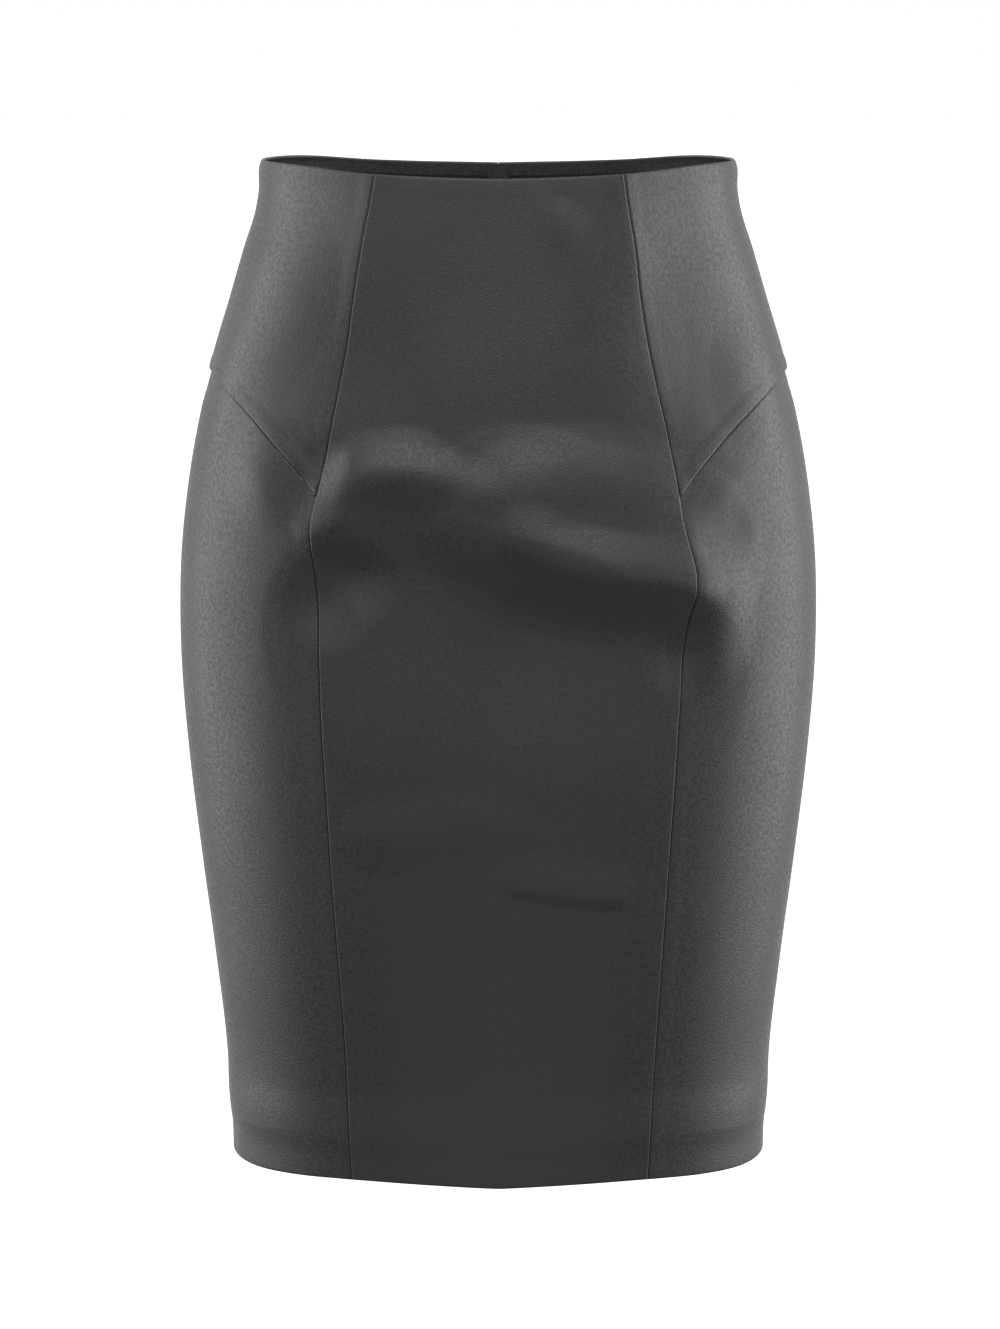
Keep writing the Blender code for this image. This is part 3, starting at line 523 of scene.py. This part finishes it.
satinLook = {
    "colour": "#353536",
    "lighterColour": "#3b3b3c",
    "roughness": 0.415,
    "roughnessSpread": 0.03,
    "specular": 0.7,
    "grainSize": 0.0011,  # the real crepe twist is 0.3 mm, too fine to show
    "grainHeight": 0.00011,
    "mottleSize": 0.0024,
    "mottleGloss": 0.10,
    "mottleRange": (0.34, 0.66),  # of the noise, over which it goes from one to the other
    "floatSpacing": 0.0008,  # real warp threads lie 0.12 mm apart, too fine to show
    "floatLength": 0.007,
    "cloudSize": 0.045,
    "cloudRange": (0.3, 0.7),
}


def makeSatin():
    # crepe-backed satin, woven of crepe-twist polyester: a fine pebbled grain and a soft wide gloss that leaves
    # the front dark and lights up where the cloth turns away
    material, add, shader = newMaterial("crepe-back satin, charcoal, woven")
    place = add("ShaderNodeUVMap", uv_map="clothPlace")
    stretch = (1.0, satinLook["floatSpacing"] / satinLook["floatLength"], 1.0)
    alongWarp = add("ShaderNodeMapping", {"Vector": place, "Scale": stretch})
    floats, grain, clouds, mottle = (
        add(
            "ShaderNodeTexNoise",
            {"Vector": at, "Scale": 1 / satinLook[size], "Detail": detail, "Roughness": roughness},
            noise_dimensions="2D",
        )
        for at, size, detail, roughness in (
            (alongWarp, "floatSpacing", 2.0, 0.6),
            (place, "grainSize", 1.0, 0.5),
            (place, "cloudSize", 3.0, 0.5),
            (place, "mottleSize", 2.0, 0.6),
        )
    )
    shade = add("ShaderNodeMath", {0: floats, 1: mottle}, operation="ADD")
    half = add("ShaderNodeMath", {0: shade, 1: 0.5}, operation="MULTIPLY")
    shades = {0: half, 6: fromHex(satinLook["colour"]), 7: fromHex(satinLook["lighterColour"])}
    colour = add("ShaderNodeMix", shades, data_type="RGBA")
    gloss, speckle = (
        add("ShaderNodeMapRange", {
            "Value": noise, "From Min": fromTo[0], "From Max": fromTo[1],
            "To Min": middle - spread, "To Max": middle + spread,
        })
        for noise, fromTo, middle, spread in (
            (clouds, satinLook["cloudRange"], satinLook["roughness"], satinLook["roughnessSpread"]),
            (mottle, satinLook["mottleRange"], 0, satinLook["mottleGloss"]),
        )
    )
    roughness = add("ShaderNodeMath", {0: gloss, 1: speckle}, operation="ADD")
    bump = add("ShaderNodeBump", {"Height": grain, "Distance": satinLook["grainHeight"], "Strength": 1.0})
    setInputs(shader, {
        "Base Color": colour.outputs[2], "Roughness": roughness, "Normal": bump,
        "Specular IOR Level": satinLook["specular"],
    })
    return material


satin = makeSatin()
panels = {
    # node: first and last edge by rising turn, top, bottom, dart, and the cut: width, length, area
    "front_panel": (princessRight, princessLeft, rim, hem, None, 0.203, 0.551, 0.0998),
    "yoke_left": (princessLeft, sideSeamLeft, rim, yokeSeamLeft, None, 0.130, 0.180, 0.0186),
    "yoke_right": (sideSeamRight, princessRight, rim, yokeSeamRight, None, 0.130, 0.180, 0.0186),
    "side_front_left": (princessLeft, sideSeamLeft, yokeSeamLeft, hem, None, 0.160, 0.440, 0.0620),
    "side_front_right": (sideSeamRight, princessRight, yokeSeamRight, hem, None, 0.160, 0.440, 0.0620),
    "back_left": (sideSeamLeft, backEdgeLeft, rim, hem, cloth["dartTurn"], 0.240, 0.556, 0.1154),
    "back_right": (backEdgeRight, sideSeamRight, rim, hem, -cloth["dartTurn"], 0.240, 0.556, 0.1154),
}
for node, (first, last, high, low, dart, *_) in panels.items():
    panel(node + "_satin", first, last, high, low, dart)
    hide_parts(node)

# Seam allowances, pressed open on the inside. One side of each seam reaches a little past it, behind the other.
allowance = {
    "width": 0.0105,
    "thick": 0.0005,
    "under": 0.00012,  # free space between the cloth and its allowance
    "past": 0.0004,
    "short": 0.0006,  # where the other side starts
    "rowStep": 0.0035,
    "columns": 6,
    "clearOfTurning": 0.0004,  # the strips end that far from a turning and from a yoke's corner
    "clearOfCorner": 0.001,
    "slantShares": (0.10, 0.90),  # of the slanted seam, to stay clear of the strips at its ends
    "rawEdgeDeeper": 0.0001,  # a turning's raw edge, than the middle of the turned cloth
    "guardTop": 0.0018,
    "guardFoot": -0.0094,
    "guardReach": 0.006,
}
freeEdges = []  # lines of the edges that are overlocked, each with the cloth's direction outwards


def stripAway(isPast):
    # distances from the seam, from the edge at the seam to the free edge
    start = -allowance["past"] if isPast else allowance["short"]
    return np.linspace(start, allowance["width"], allowance["columns"])


def innerStrip(name, turn, height, away, wall):
    points = clothPoint(turn, height)
    normal = gridNormals(points)
    inside = wall + allowance["under"]
    outer, inner = points - normal * inside, points - normal * (inside + allowance["thick"])
    strip = closedSheet(name, outer, inner, away, height)
    middle = points - normal * (inside + allowance["thick"] / 2)
    return dress(strip, satin), middle, normal


def keepFreeEdge(line, back, normal):
    # runs so that the cloth lies on the same side of every line
    along = np.gradient(line, axis=0)
    if (np.cross(normal, along) * back).sum() < 0:
        line, normal = line[::-1], normal[::-1]
    freeEdges.append((line, normal))


def besideEdge(edge, side, top, bottom, rows, away):
    # places at these distances from a standing edge, on its side of rising turn (1) or falling turn (-1)
    height = np.linspace(top, bottom, rows)[:, None]
    away = away[::side] + 0 * height
    turn = edge(height) + side * away / lengthPerDegree(edge(height), height)
    return turn, height + 0 * turn, away


def standingStrip(name, edge, side, top, bottom, isPast, wall=cloth["wall"]):
    rows = max(8, round((top - bottom) / allowance["rowStep"]))
    turn, height, away = besideEdge(edge, side, top, bottom, rows, stripAway(isPast))
    strip, middle, normal = innerStrip(name, turn, height, away, wall)
    last, before = (-1, -2) if side > 0 else (0, 1)
    keepFreeEdge(middle[:, last], middle[:, before] - middle[:, last], normal[:, last])
    return strip


steppedWall = cloth["wall"] + cloth["yokeStep"]


def slantStrip(name, firstEdge, lastEdge, seam, side):
    # along a yoke seam, above it (1) or below it (-1)
    share = np.linspace(*allowance["slantShares"], 40)[None, :]
    height = seam(0, share)
    turn = firstEdge(height) * (1 - share) + lastEdge(height) * share
    run = np.gradient(formPoint(turn, height)[0], axis=0)
    stretch = 1 / np.sqrt(1 - (run[:, 2] / np.linalg.norm(run, axis=-1)) ** 2)[None, :]
    away = stripAway(side > 0)[:, None] + 0 * share
    if side > 0:
        away = away[::-1]
    height = height + side * away * stretch
    turn = firstEdge(height) * (1 - share) + lastEdge(height) * share
    strip, middle, normal = innerStrip(name, turn, height, away, steppedWall)
    last, before = (0, 1) if side > 0 else (-1, -2)
    keepFreeEdge(middle[last], middle[before] - middle[last], normal[last])
    return strip


def turningEdge(firstEdge, lastEdge, free, away, back):
    # the raw edge of a turned-in top or a turned-up hem, on the inside of its panel
    share = np.linspace(0.01, 0.99, 90)[None, :]
    height = free(firstEdge(0 * share) * (1 - share) + lastEdge(0 * share) * share, share) + away
    turn = firstEdge(height) * (1 - share) + lastEdge(height) * share
    height = np.concatenate([height + heightStep, height, height - heightStep])
    points = clothPoint(turn + 0 * height, height)
    normal = gridNormals(points)
    line = points - normal * ((cloth["wall"] + cloth["turnedWall"]) / 2 + allowance["rawEdgeDeeper"])
    keepFreeEdge(line[1], (line[0] - line[1]) * back, normal[1])


def zipGuard():
    # the cloth folded behind the top of the zip, so that no light shows through
    top, foot, reach = (allowance[key] for key in ("guardTop", "guardFoot", "guardReach"))
    away = np.linspace(-reach, reach, 7)
    places = besideEdge(lambda height: 180 + 0 * height, 1, top, foot, 8, away)
    return innerStrip("zip_guard", *places, cloth["turnedWall"])[0]


def makeAllowances():
    strips = {node: [] for node in panels}
    clear, aside = allowance["clearOfTurning"], allowance["clearOfCorner"]
    top = skirt["rim"][2][1] - cloth["topTurning"] - clear
    sideTop = skirt["rim"][-1][1] - cloth["topTurning"] - clear
    bottom = skirt["hem"][3][1] + cloth["hemTurning"] + clear
    corner, sideCorner = skirt["yokeSeam"][0][1], skirt["yokeSeam"][-1][1]
    zipFoot, slitTop = zipper["top"] - zipper["length"], skirt["slitTop"]
    for hand, sign, princess, sideSeam, slant, backEdge in (
        ("left", 1, princessLeft, sideSeamLeft, yokeSeamLeft, backEdgeLeft),
        ("right", -1, princessRight, sideSeamRight, yokeSeamRight, backEdgeRight),
    ):
        yoke, sideFront, back = "yoke_" + hand, "side_front_" + hand, "back_" + hand
        for node, edge, side, high, low, isPast in (
            ("front_panel", princess, -sign, top, bottom, True),
            (yoke, princess, sign, top, corner + aside, False),
            (sideFront, princess, sign, corner - aside, bottom, False),
            (yoke, sideSeam, -sign, sideTop, sideCorner + aside, False),
            (sideFront, sideSeam, -sign, sideCorner - aside, bottom, False),
            (back, sideSeam, sign, sideTop, bottom, True),
        ):
            name = f"{node}_allowance_{len(strips[node])}_{hand}"
            wall = steppedWall if node == sideFront else cloth["wall"]
            strips[node].append(standingStrip(name, edge, side, high, low, isPast, wall))
        edges = (princess, sideSeam) if sign > 0 else (sideSeam, princess)
        strips[yoke].append(slantStrip(yoke + "_allowance_slant", *edges, slant, 1))
        strips[sideFront].append(slantStrip(sideFront + "_allowance_slant", *edges, slant, -1))
        for name, high, low, isPast in (
            ("centre", zipFoot, slitTop, sign > 0),
            ("slit", slitTop, bottom, False),
        ):
            strips[back].append(standingStrip(f"{back}_allowance_{name}", backEdge, -sign, high, low, isPast))
    strips["back_left"].append(zipGuard())
    for first, last, high, low, *_ in panels.values():
        if high is rim:
            turningEdge(first, last, rim, -cloth["topTurning"], 1)
        if low is hem:
            turningEdge(first, last, hem, cloth["hemTurning"], -1)
    return strips


def socketOf(tree, name):
    sockets = tree.interface.items_tree
    return next(socket.identifier for socket in sockets if socket.name == name and socket.in_out == "INPUT")


def startTree(name, sizes):
    # a tree with a geometry input, a named input for each size and a material
    tree = bpy.data.node_groups.new(name, "GeometryNodeTree")
    sockets = {"Geometry": "Geometry", **dict.fromkeys(sizes, "Float"), "Material": "Material"}
    for label, kind in sockets.items():
        tree.interface.new_socket(label, in_out="INPUT", socket_type="NodeSocket" + kind)
    tree.interface.new_socket("Geometry", in_out="OUTPUT", socket_type="NodeSocketGeometry")
    return tree, partial(addNode, tree), addNode(tree, "NodeGroupInput").outputs


def endTree(add, start, mesh):
    realized = add("GeometryNodeRealizeInstances", {"Geometry": mesh})
    finished = add("GeometryNodeSetMaterial", {"Geometry": realized, "Material": start["Material"]})
    add("NodeGroupOutput", {"Geometry": finished})


def linesObject(name, lines):
    # loose edges along each line, with the outward direction kept at their points
    places, edges, outwards = [], [], []
    for line, normal in lines:
        first = len(places)
        places += [tuple(place) for place in line]
        outwards += [tuple(direction) for direction in normal]
        edges += [(k, k + 1) for k in range(first, len(places) - 1)]
    mesh = bpy.data.meshes.new(name)
    mesh.from_pydata(places, edges, [])
    layer = mesh.attributes.new("outward", "FLOAT_VECTOR", "POINT")
    layer.data.foreach_set("vector", np.array(outwards, np.float32).ravel())
    return addObject(name, mesh)


def growOnLines(name, lines, tree, values, material):
    # runs a tree on the lines and keeps its result as a plain mesh
    guide = linesObject(name + "Guide", lines)
    step = guide.modifiers.new("grow", "NODES")
    step.node_group = tree
    for key, value in values.items():
        step[socketOf(tree, key)] = value
    step[socketOf(tree, "Material")] = material
    grown = bpy.data.meshes.new_from_object(guide.evaluated_get(bpy.context.evaluated_depsgraph_get()))
    guide.modifiers.clear()
    bpy.data.objects.remove(guide)
    grown.shade_smooth()
    dress(addObject(name, grown), material)
    print(name, "faces:", len(grown.polygons))


overlock = {"Stitch Pitch": 0.0032, "Stitch Width": 0.0036, "Thread Radius": 0.00011, "Edge Thickness": 0.0007}
# the ends and handles of a stitch's curve, as shares of half the thickness (2), the width and the pitch (2)
stitchLoop = {"behind": -1.0, "bulge": -1.33, "reach": 1.35, "leaves": 0.15, "returns": 0.75}


def makeOverlockTree():
    # on every step along an edge a thread loops over the cloth and back, and another runs along the edge
    tree, add, start = startTree("overlocked edge", overlock)
    pitch, width, radius = (start[key] for key in ("Stitch Pitch", "Stitch Width", "Thread Radius"))
    half = add("ShaderNodeMath", {0: start["Edge Thickness"], 1: 0.5, 2: radius}, operation="MULTIPLY_ADD")
    behind, bulge, reach, early, late = (
        add("ShaderNodeMath", {0: size, 1: factor}, operation="MULTIPLY")
        for size, factor in zip((half, half, width, pitch, pitch), stitchLoop.values())
    )
    corner = add("ShaderNodeCombineXYZ", {"Y": behind})
    nextCorner = add("ShaderNodeCombineXYZ", {"X": pitch, "Y": behind})
    handle = add("ShaderNodeCombineXYZ", {"X": early, "Y": reach, "Z": bulge})
    nextHandle = add("ShaderNodeCombineXYZ", {"X": late, "Y": reach, "Z": bulge})
    ends = {"Start": corner, "End": nextCorner}
    handles = {"Start Handle": handle, "End Handle": nextHandle}
    loop = add("GeometryNodeCurvePrimitiveBezierSegment", {"Resolution": 7, **ends, **handles})
    purl = add("GeometryNodeCurvePrimitiveLine", ends)
    threads = add("GeometryNodeJoinGeometry")
    setInputs(threads, {0: loop})
    setInputs(threads, {0: purl})
    profile = add("GeometryNodeCurvePrimitiveCircle", {"Resolution": 4, "Radius": radius})
    stitch = add("GeometryNodeCurveToMesh", {"Curve": threads, "Profile Curve": profile})
    path = add("GeometryNodeMeshToCurve", {"Mesh": start["Geometry"]})
    steps = add("GeometryNodeResampleCurve", {"Curve": path, "Length": pitch}, mode="LENGTH")
    outward = add("GeometryNodeInputNamedAttribute", {"Name": "outward"}, data_type="FLOAT_VECTOR")
    along = add("GeometryNodeInputTangent")
    turned = add("FunctionNodeAxesToRotation", {0: outward, 1: along}, primary_axis="Z", secondary_axis="X")
    stitched = add("GeometryNodeInstanceOnPoints", {"Points": steps, "Instance": stitch, "Rotation": turned})
    endTree(add, start, stitched)
    return tree


# A concealed zip in the centre back seam: two woven tapes, a nylon coil on each, a slider and a pull tab
zipper = {
    "top": -0.010,
    "length": 0.200,
    "tapeWidth": 0.0125,
    "tapeStart": 0.0003,  # from the middle of the back
    "tapeDepth": 0.0017,  # from the cloth's face to the tape
    "tapeThick": 0.0008,
    "tapeRows": 90,
    "coilDepth": 0.0035,
    "coilAside": 0.0008,  # of each coil's middle
    "coilEnds": (0.001, 0.003),  # how much shorter than the tape it is, at the top and at the foot
    "coilRows": 80,
}
coil = {"Coil Pitch": 0.00125, "Coil Width": 0.0017, "Coil Height": 0.0015, "Wire Radius": 0.00026}


def makeCoilTree():
    # a wire wound round the path, in eight steps to a turn
    tree, add, start = startTree("zip coil", coil)
    path = add("GeometryNodeMeshToCurve", {"Mesh": start["Geometry"]})
    step = add("ShaderNodeMath", {0: start["Coil Pitch"], 1: 1 / 8}, operation="MULTIPLY")
    fine = add("GeometryNodeResampleCurve", {"Curve": path, "Length": step}, mode="LENGTH")
    run = add("GeometryNodeSplineParameter").outputs["Length"]
    turns = add("ShaderNodeMath", {0: run, 1: start["Coil Pitch"]}, operation="DIVIDE")
    angle = add("ShaderNodeMath", {0: turns, 1: 2 * math.pi}, operation="MULTIPLY")
    outward = add("GeometryNodeInputNamedAttribute", {"Name": "outward"}, data_type="FLOAT_VECTOR")
    along = add("GeometryNodeInputTangent")
    aside = add("ShaderNodeVectorMath", {0: outward, 1: along}, operation="CROSS_PRODUCT")
    parts = []
    for direction, size, wave in ((aside, "Coil Width", "COSINE"), (outward, "Coil Height", "SINE")):
        swing = add("ShaderNodeMath", {0: angle}, operation=wave)
        across = add("ShaderNodeMath", {0: swing, 1: start[size]}, operation="MULTIPLY")
        half = add("ShaderNodeMath", {0: across, 1: 0.5}, operation="MULTIPLY")
        parts.append(add("ShaderNodeVectorMath", {0: direction, "Scale": half}, operation="SCALE"))
    offset = add("ShaderNodeVectorMath", {0: parts[0], 1: parts[1]}, operation="ADD")
    wound = add("GeometryNodeSetPosition", {"Geometry": fine, "Offset": offset})
    profile = add("GeometryNodeCurvePrimitiveCircle", {"Resolution": 5, "Radius": start["Wire Radius"]})
    wire = add("GeometryNodeCurveToMesh", {"Curve": wound, "Profile Curve": profile, "Fill Caps": True})
    endTree(add, start, wire)
    return tree


def makeTape(hand, edge, side, material):
    top, foot = zipper["top"], zipper["top"] - zipper["length"]
    away = np.linspace(zipper["tapeStart"], zipper["tapeWidth"], 8)
    turn, height, away = besideEdge(edge, side, top, foot, zipper["tapeRows"], away)
    points = clothPoint(turn, height)
    normal = gridNormals(points)
    outer = points - normal * zipper["tapeDepth"]
    inner = outer - normal * zipper["tapeThick"]
    made = closedSheet(f"zip_tape_{hand}_woven", outer, inner, away, height)
    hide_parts("zip_tape_" + hand)
    dress(made, material)


def coilLine(side):
    above, below = zipper["coilEnds"]
    top, foot = zipper["top"] - above, zipper["top"] - zipper["length"] + below
    height = np.linspace(top, foot, zipper["coilRows"])[:, None]
    turn = np.array([[179.8, 180.0, 180.2]]) + 0 * height  # the middle, and one on each side for its direction
    points = clothPoint(turn, height + 0 * turn)
    normal = gridNormals(points)[:, 1]
    return points[:, 1] - normal * zipper["coilDepth"] + np.array([side * zipper["coilAside"], 0, 0]), normal


tapeLook = {
    "colour": "#2a2a2b",
    "ribColour": "#343435",
    "ribSpacing": 0.0014,
    "ribHeight": 0.00012,
    "ribWaver": 0.6,
    "ribStrength": 0.8,
    "roughness": 0.85,
}


def makeTapeCloth():
    # woven polyester tape: matt, with ribs along it
    material, add, shader = newMaterial("polyester zip tape, woven")
    place = add("ShaderNodeUVMap", uv_map="clothPlace")
    scale = math.pi / (10 * tapeLook["ribSpacing"])  # the texture has a band in every pi / 10
    wave = {"Vector": place, "Scale": scale, "Distortion": tapeLook["ribWaver"]}
    ribs = add("ShaderNodeTexWave", wave, bands_direction="X").outputs["Fac"]
    shades = {0: ribs, 6: fromHex(tapeLook["colour"]), 7: fromHex(tapeLook["ribColour"])}
    colour = add("ShaderNodeMix", shades, data_type="RGBA")
    relief = {"Height": ribs, "Distance": tapeLook["ribHeight"], "Strength": tapeLook["ribStrength"]}
    bump = add("ShaderNodeBump", relief)
    setInputs(shader, {"Base Color": colour.outputs[2], "Roughness": tapeLook["roughness"], "Normal": bump})
    return material


threadLook = {"colour": "#303031", "lighterColour": "#3b3b3c", "roughness": 0.6, "twistScale": 2500.0}


def makeThread():
    # spun polyester thread: fuzzy, so hardly any gloss, with the twist as a fine change of shade
    material, add, shader = newMaterial("polyester thread, spun")
    place = add("ShaderNodeTexCoord").outputs["Object"]
    twist = add("ShaderNodeTexNoise", {"Vector": place, "Scale": threadLook["twistScale"], "Detail": 1.0})
    shades = {0: twist, 6: fromHex(threadLook["colour"]), 7: fromHex(threadLook["lighterColour"])}
    colour = add("ShaderNodeMix", shades, data_type="RGBA")
    setInputs(shader, {"Base Color": colour.outputs[2], "Roughness": threadLook["roughness"]})
    return material


coilLook = {"colour": "#2c2c2d", "cleanRoughness": 0.34, "dustyRoughness": 0.54, "dustScale": 400.0}


def makeNylon():
    # nylon wire, drawn: smooth and slightly glossy, with faint dust in its turns
    material, add, shader = newMaterial("nylon coil, drawn")
    place = add("ShaderNodeTexCoord").outputs["Object"]
    dust = add("ShaderNodeTexNoise", {"Vector": place, "Scale": coilLook["dustScale"], "Detail": 2.0})
    levels = {"Value": dust, "To Min": coilLook["cleanRoughness"], "To Max": coilLook["dustyRoughness"]}
    gloss = add("ShaderNodeMapRange", levels)
    setInputs(shader, {"Base Color": fromHex(coilLook["colour"]), "Roughness": gloss})
    return material


enamelLook = {
    "colour": "#333335",
    "wornColour": "#55555a",
    "roughness": 0.3,
    "wearRange": (0.7, 0.8),  # of the noise, over which the coat wears off
    "wearScale": 600.0,
    "peelScale": 2200.0,
    "peelHeight": 0.00002,
    "coat": 0.4,
    "coatRoughness": 0.15,
}


def makeEnamel():
    # zinc, die-cast and stove-enamelled: an even coat with slight orange peel, worn lighter in spots
    material, add, shader = newMaterial("zinc, die-cast and enamelled")
    place = add("ShaderNodeTexCoord").outputs["Object"]
    spots = add("ShaderNodeTexNoise", {"Vector": place, "Scale": enamelLook["wearScale"], "Detail": 3.0})
    peel = add("ShaderNodeTexNoise", {"Vector": place, "Scale": enamelLook["peelScale"], "Detail": 1.0})
    start, end = enamelLook["wearRange"]
    worn = add("ShaderNodeMapRange", {"Value": spots, "From Min": start, "From Max": end})
    shades = {0: worn, 6: fromHex(enamelLook["colour"]), 7: fromHex(enamelLook["wornColour"])}
    colour = add("ShaderNodeMix", shades, data_type="RGBA")
    bump = add("ShaderNodeBump", {"Height": peel, "Distance": enamelLook["peelHeight"], "Strength": 0.5})
    setInputs(shader, {
        "Base Color": colour.outputs[2], "Roughness": enamelLook["roughness"], "Normal": bump,
        "Coat Weight": enamelLook["coat"], "Coat Roughness": enamelLook["coatRoughness"],
    })
    return material


strips = makeAllowances()
growOnLines("overlockThreads", freeEdges, makeOverlockTree(), overlock, makeThread())
woven = makeTapeCloth()
makeTape("left", backEdgeLeft, -1, woven)
makeTape("right", backEdgeRight, 1, woven)
growOnLines("zipCoils", [coilLine(-1), coilLine(1)], makeCoilTree(), coil, makeNylon())
enamel = makeEnamel()
for node in ("zip_slider", "zip_pull"):
    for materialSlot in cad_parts[node].material_slots:
        materialSlot.material = enamel
print("allowances, threads and zip made")

studio = {
    "floorHeight": -1.05,  # a leg's length under the waist
    "floorSize": 60,
    "floorGlow": 0.8,
    "sideBoxes": {"distance": 1.6, "ahead": 0.16, "height": 0.0, "wide": 1.5, "high": 1.9, "radiance": 1.83},
    "leftShare": 1.2,  # the box on the wearer's left is that much brighter
    "topBox": {"ahead": -1.5, "height": 1.0, "aim": -0.2, "wide": 2.2, "high": 1.3, "radiance": 1.62},
    "lowBox": {"ahead": -1.3, "height": -0.95, "aim": -0.45, "wide": 1.2, "high": 0.4, "radiance": 0.45},
    # the world's brightness, with the directions between which it changes (y is backwards, z is up)
    "worldFront": 0.355,
    "worldBack": 0.79,
    "frontToBack": (-0.3, 0.9),
    "worldBelow": 0.06,  # share that is left low down, in front
    "belowToFull": (-0.38, -0.05),
    "sidesToBehind": (0.15, 0.75),
    "worldFoot": 0.24,  # the pale floor at the foot of the stand
    "floorToFoot": (-0.7, -0.9),
}


def areaLight(name, place, aim, box, share=1.0):
    lamp = bpy.data.lights.new(name, "AREA")
    lamp.shape = "RECTANGLE"
    lamp.size, lamp.size_y = box["wide"], box["high"]
    lamp.energy = share * box["radiance"] * math.pi * box["wide"] * box["high"]
    made = addObject(name, lamp)
    made.location = place
    made.rotation_euler = (Vector(aim) - Vector(place)).to_track_quat("-Z", "Y").to_euler()
    made.visible_camera = False


def makeLights():
    box = studio["sideBoxes"]
    aim = (0, box["ahead"], box["height"])
    for side, name, share in ((-1, "softboxRight", 1.0), (1, "softboxLeft", studio["leftShare"])):
        areaLight(name, (side * box["distance"], *aim[1:]), aim, box, share)
    for name, box in (("softboxTop", studio["topBox"]), ("reflectorLow", studio["lowBox"])):
        areaLight(name, (0, box["ahead"], box["height"]), (0, 0, box["aim"]), box)


def makeWorld():
    world = bpy.data.worlds.new("white studio")
    bpy.context.scene.world = world
    world.use_nodes = True
    add = partial(addNode, world.node_tree)
    direction = add("ShaderNodeTexCoord").outputs["Generated"]
    split = add("ShaderNodeSeparateXYZ", {"Vector": direction}).outputs
    # the pale floor shows in the cloth at the sides, and the darker floor in front of the stand does not
    level, low, behind, foot = (
        add("ShaderNodeMapRange", {
            "Value": split[axis], "From Min": fromTo[0], "From Max": fromTo[1], "To Min": least, "To Max": most,
        })
        for axis, fromTo, least, most in (
            ("Y", studio["frontToBack"], studio["worldFront"], studio["worldBack"]),
            ("Z", studio["belowToFull"], studio["worldBelow"], 1.0),
            ("Y", studio["sidesToBehind"], 0.0, 1.0),
            ("Z", studio["floorToFoot"], 0.0, studio["worldFoot"]),
        )
    )
    lower = add("ShaderNodeMix", {0: behind, 2: low, 3: 1.0})
    both = add("ShaderNodeMath", {0: level, 1: lower}, operation="MULTIPLY")
    whole = add("ShaderNodeMath", {0: both, 1: foot}, operation="ADD")
    seen = add("ShaderNodeLightPath").outputs["Is Camera Ray"]
    strength = add("ShaderNodeMix", {0: seen, 2: whole, 3: 1.0})
    setInputs(world.node_tree.nodes["Background"], {"Strength": strength, "Color": (1, 1, 1, 1)})


def makeFloor():
    # white paper, matt, that glows a little so that it stays as pale as the backdrop
    bpy.ops.mesh.primitive_plane_add(size=studio["floorSize"], location=(0, 0, studio["floorHeight"]))
    floor = bpy.context.object
    floor.name = "studioFloor"
    paper, _, shader = newMaterial("white paper floor")
    setInputs(shader, {"Base Color": fromHex("#f7f7f7"), "Roughness": 0.9})
    setInputs(shader, {"Emission Color": (1, 1, 1, 1), "Emission Strength": studio["floorGlow"]})
    floor.data.materials.append(paper)
    floor.visible_diffuse = False
    floor.visible_glossy = False


makeLights()
makeWorld()
makeFloor()

view = {"place": (0.00098, -2.5, 0.12), "tiltDown": 8.93, "lens": 122.46, "sensor": 36}
cameraData = bpy.data.cameras.new("camera")
cameraData.lens = view["lens"]
cameraData.sensor_width = view["sensor"]
camera = addObject("camera", cameraData)
camera.location = view["place"]
camera.rotation_euler = (math.radians(90 - view["tiltDown"]), 0, 0)
bpy.context.scene.camera = camera
bpy.context.scene.view_settings.view_transform = "Standard"
print("studio and camera ready")
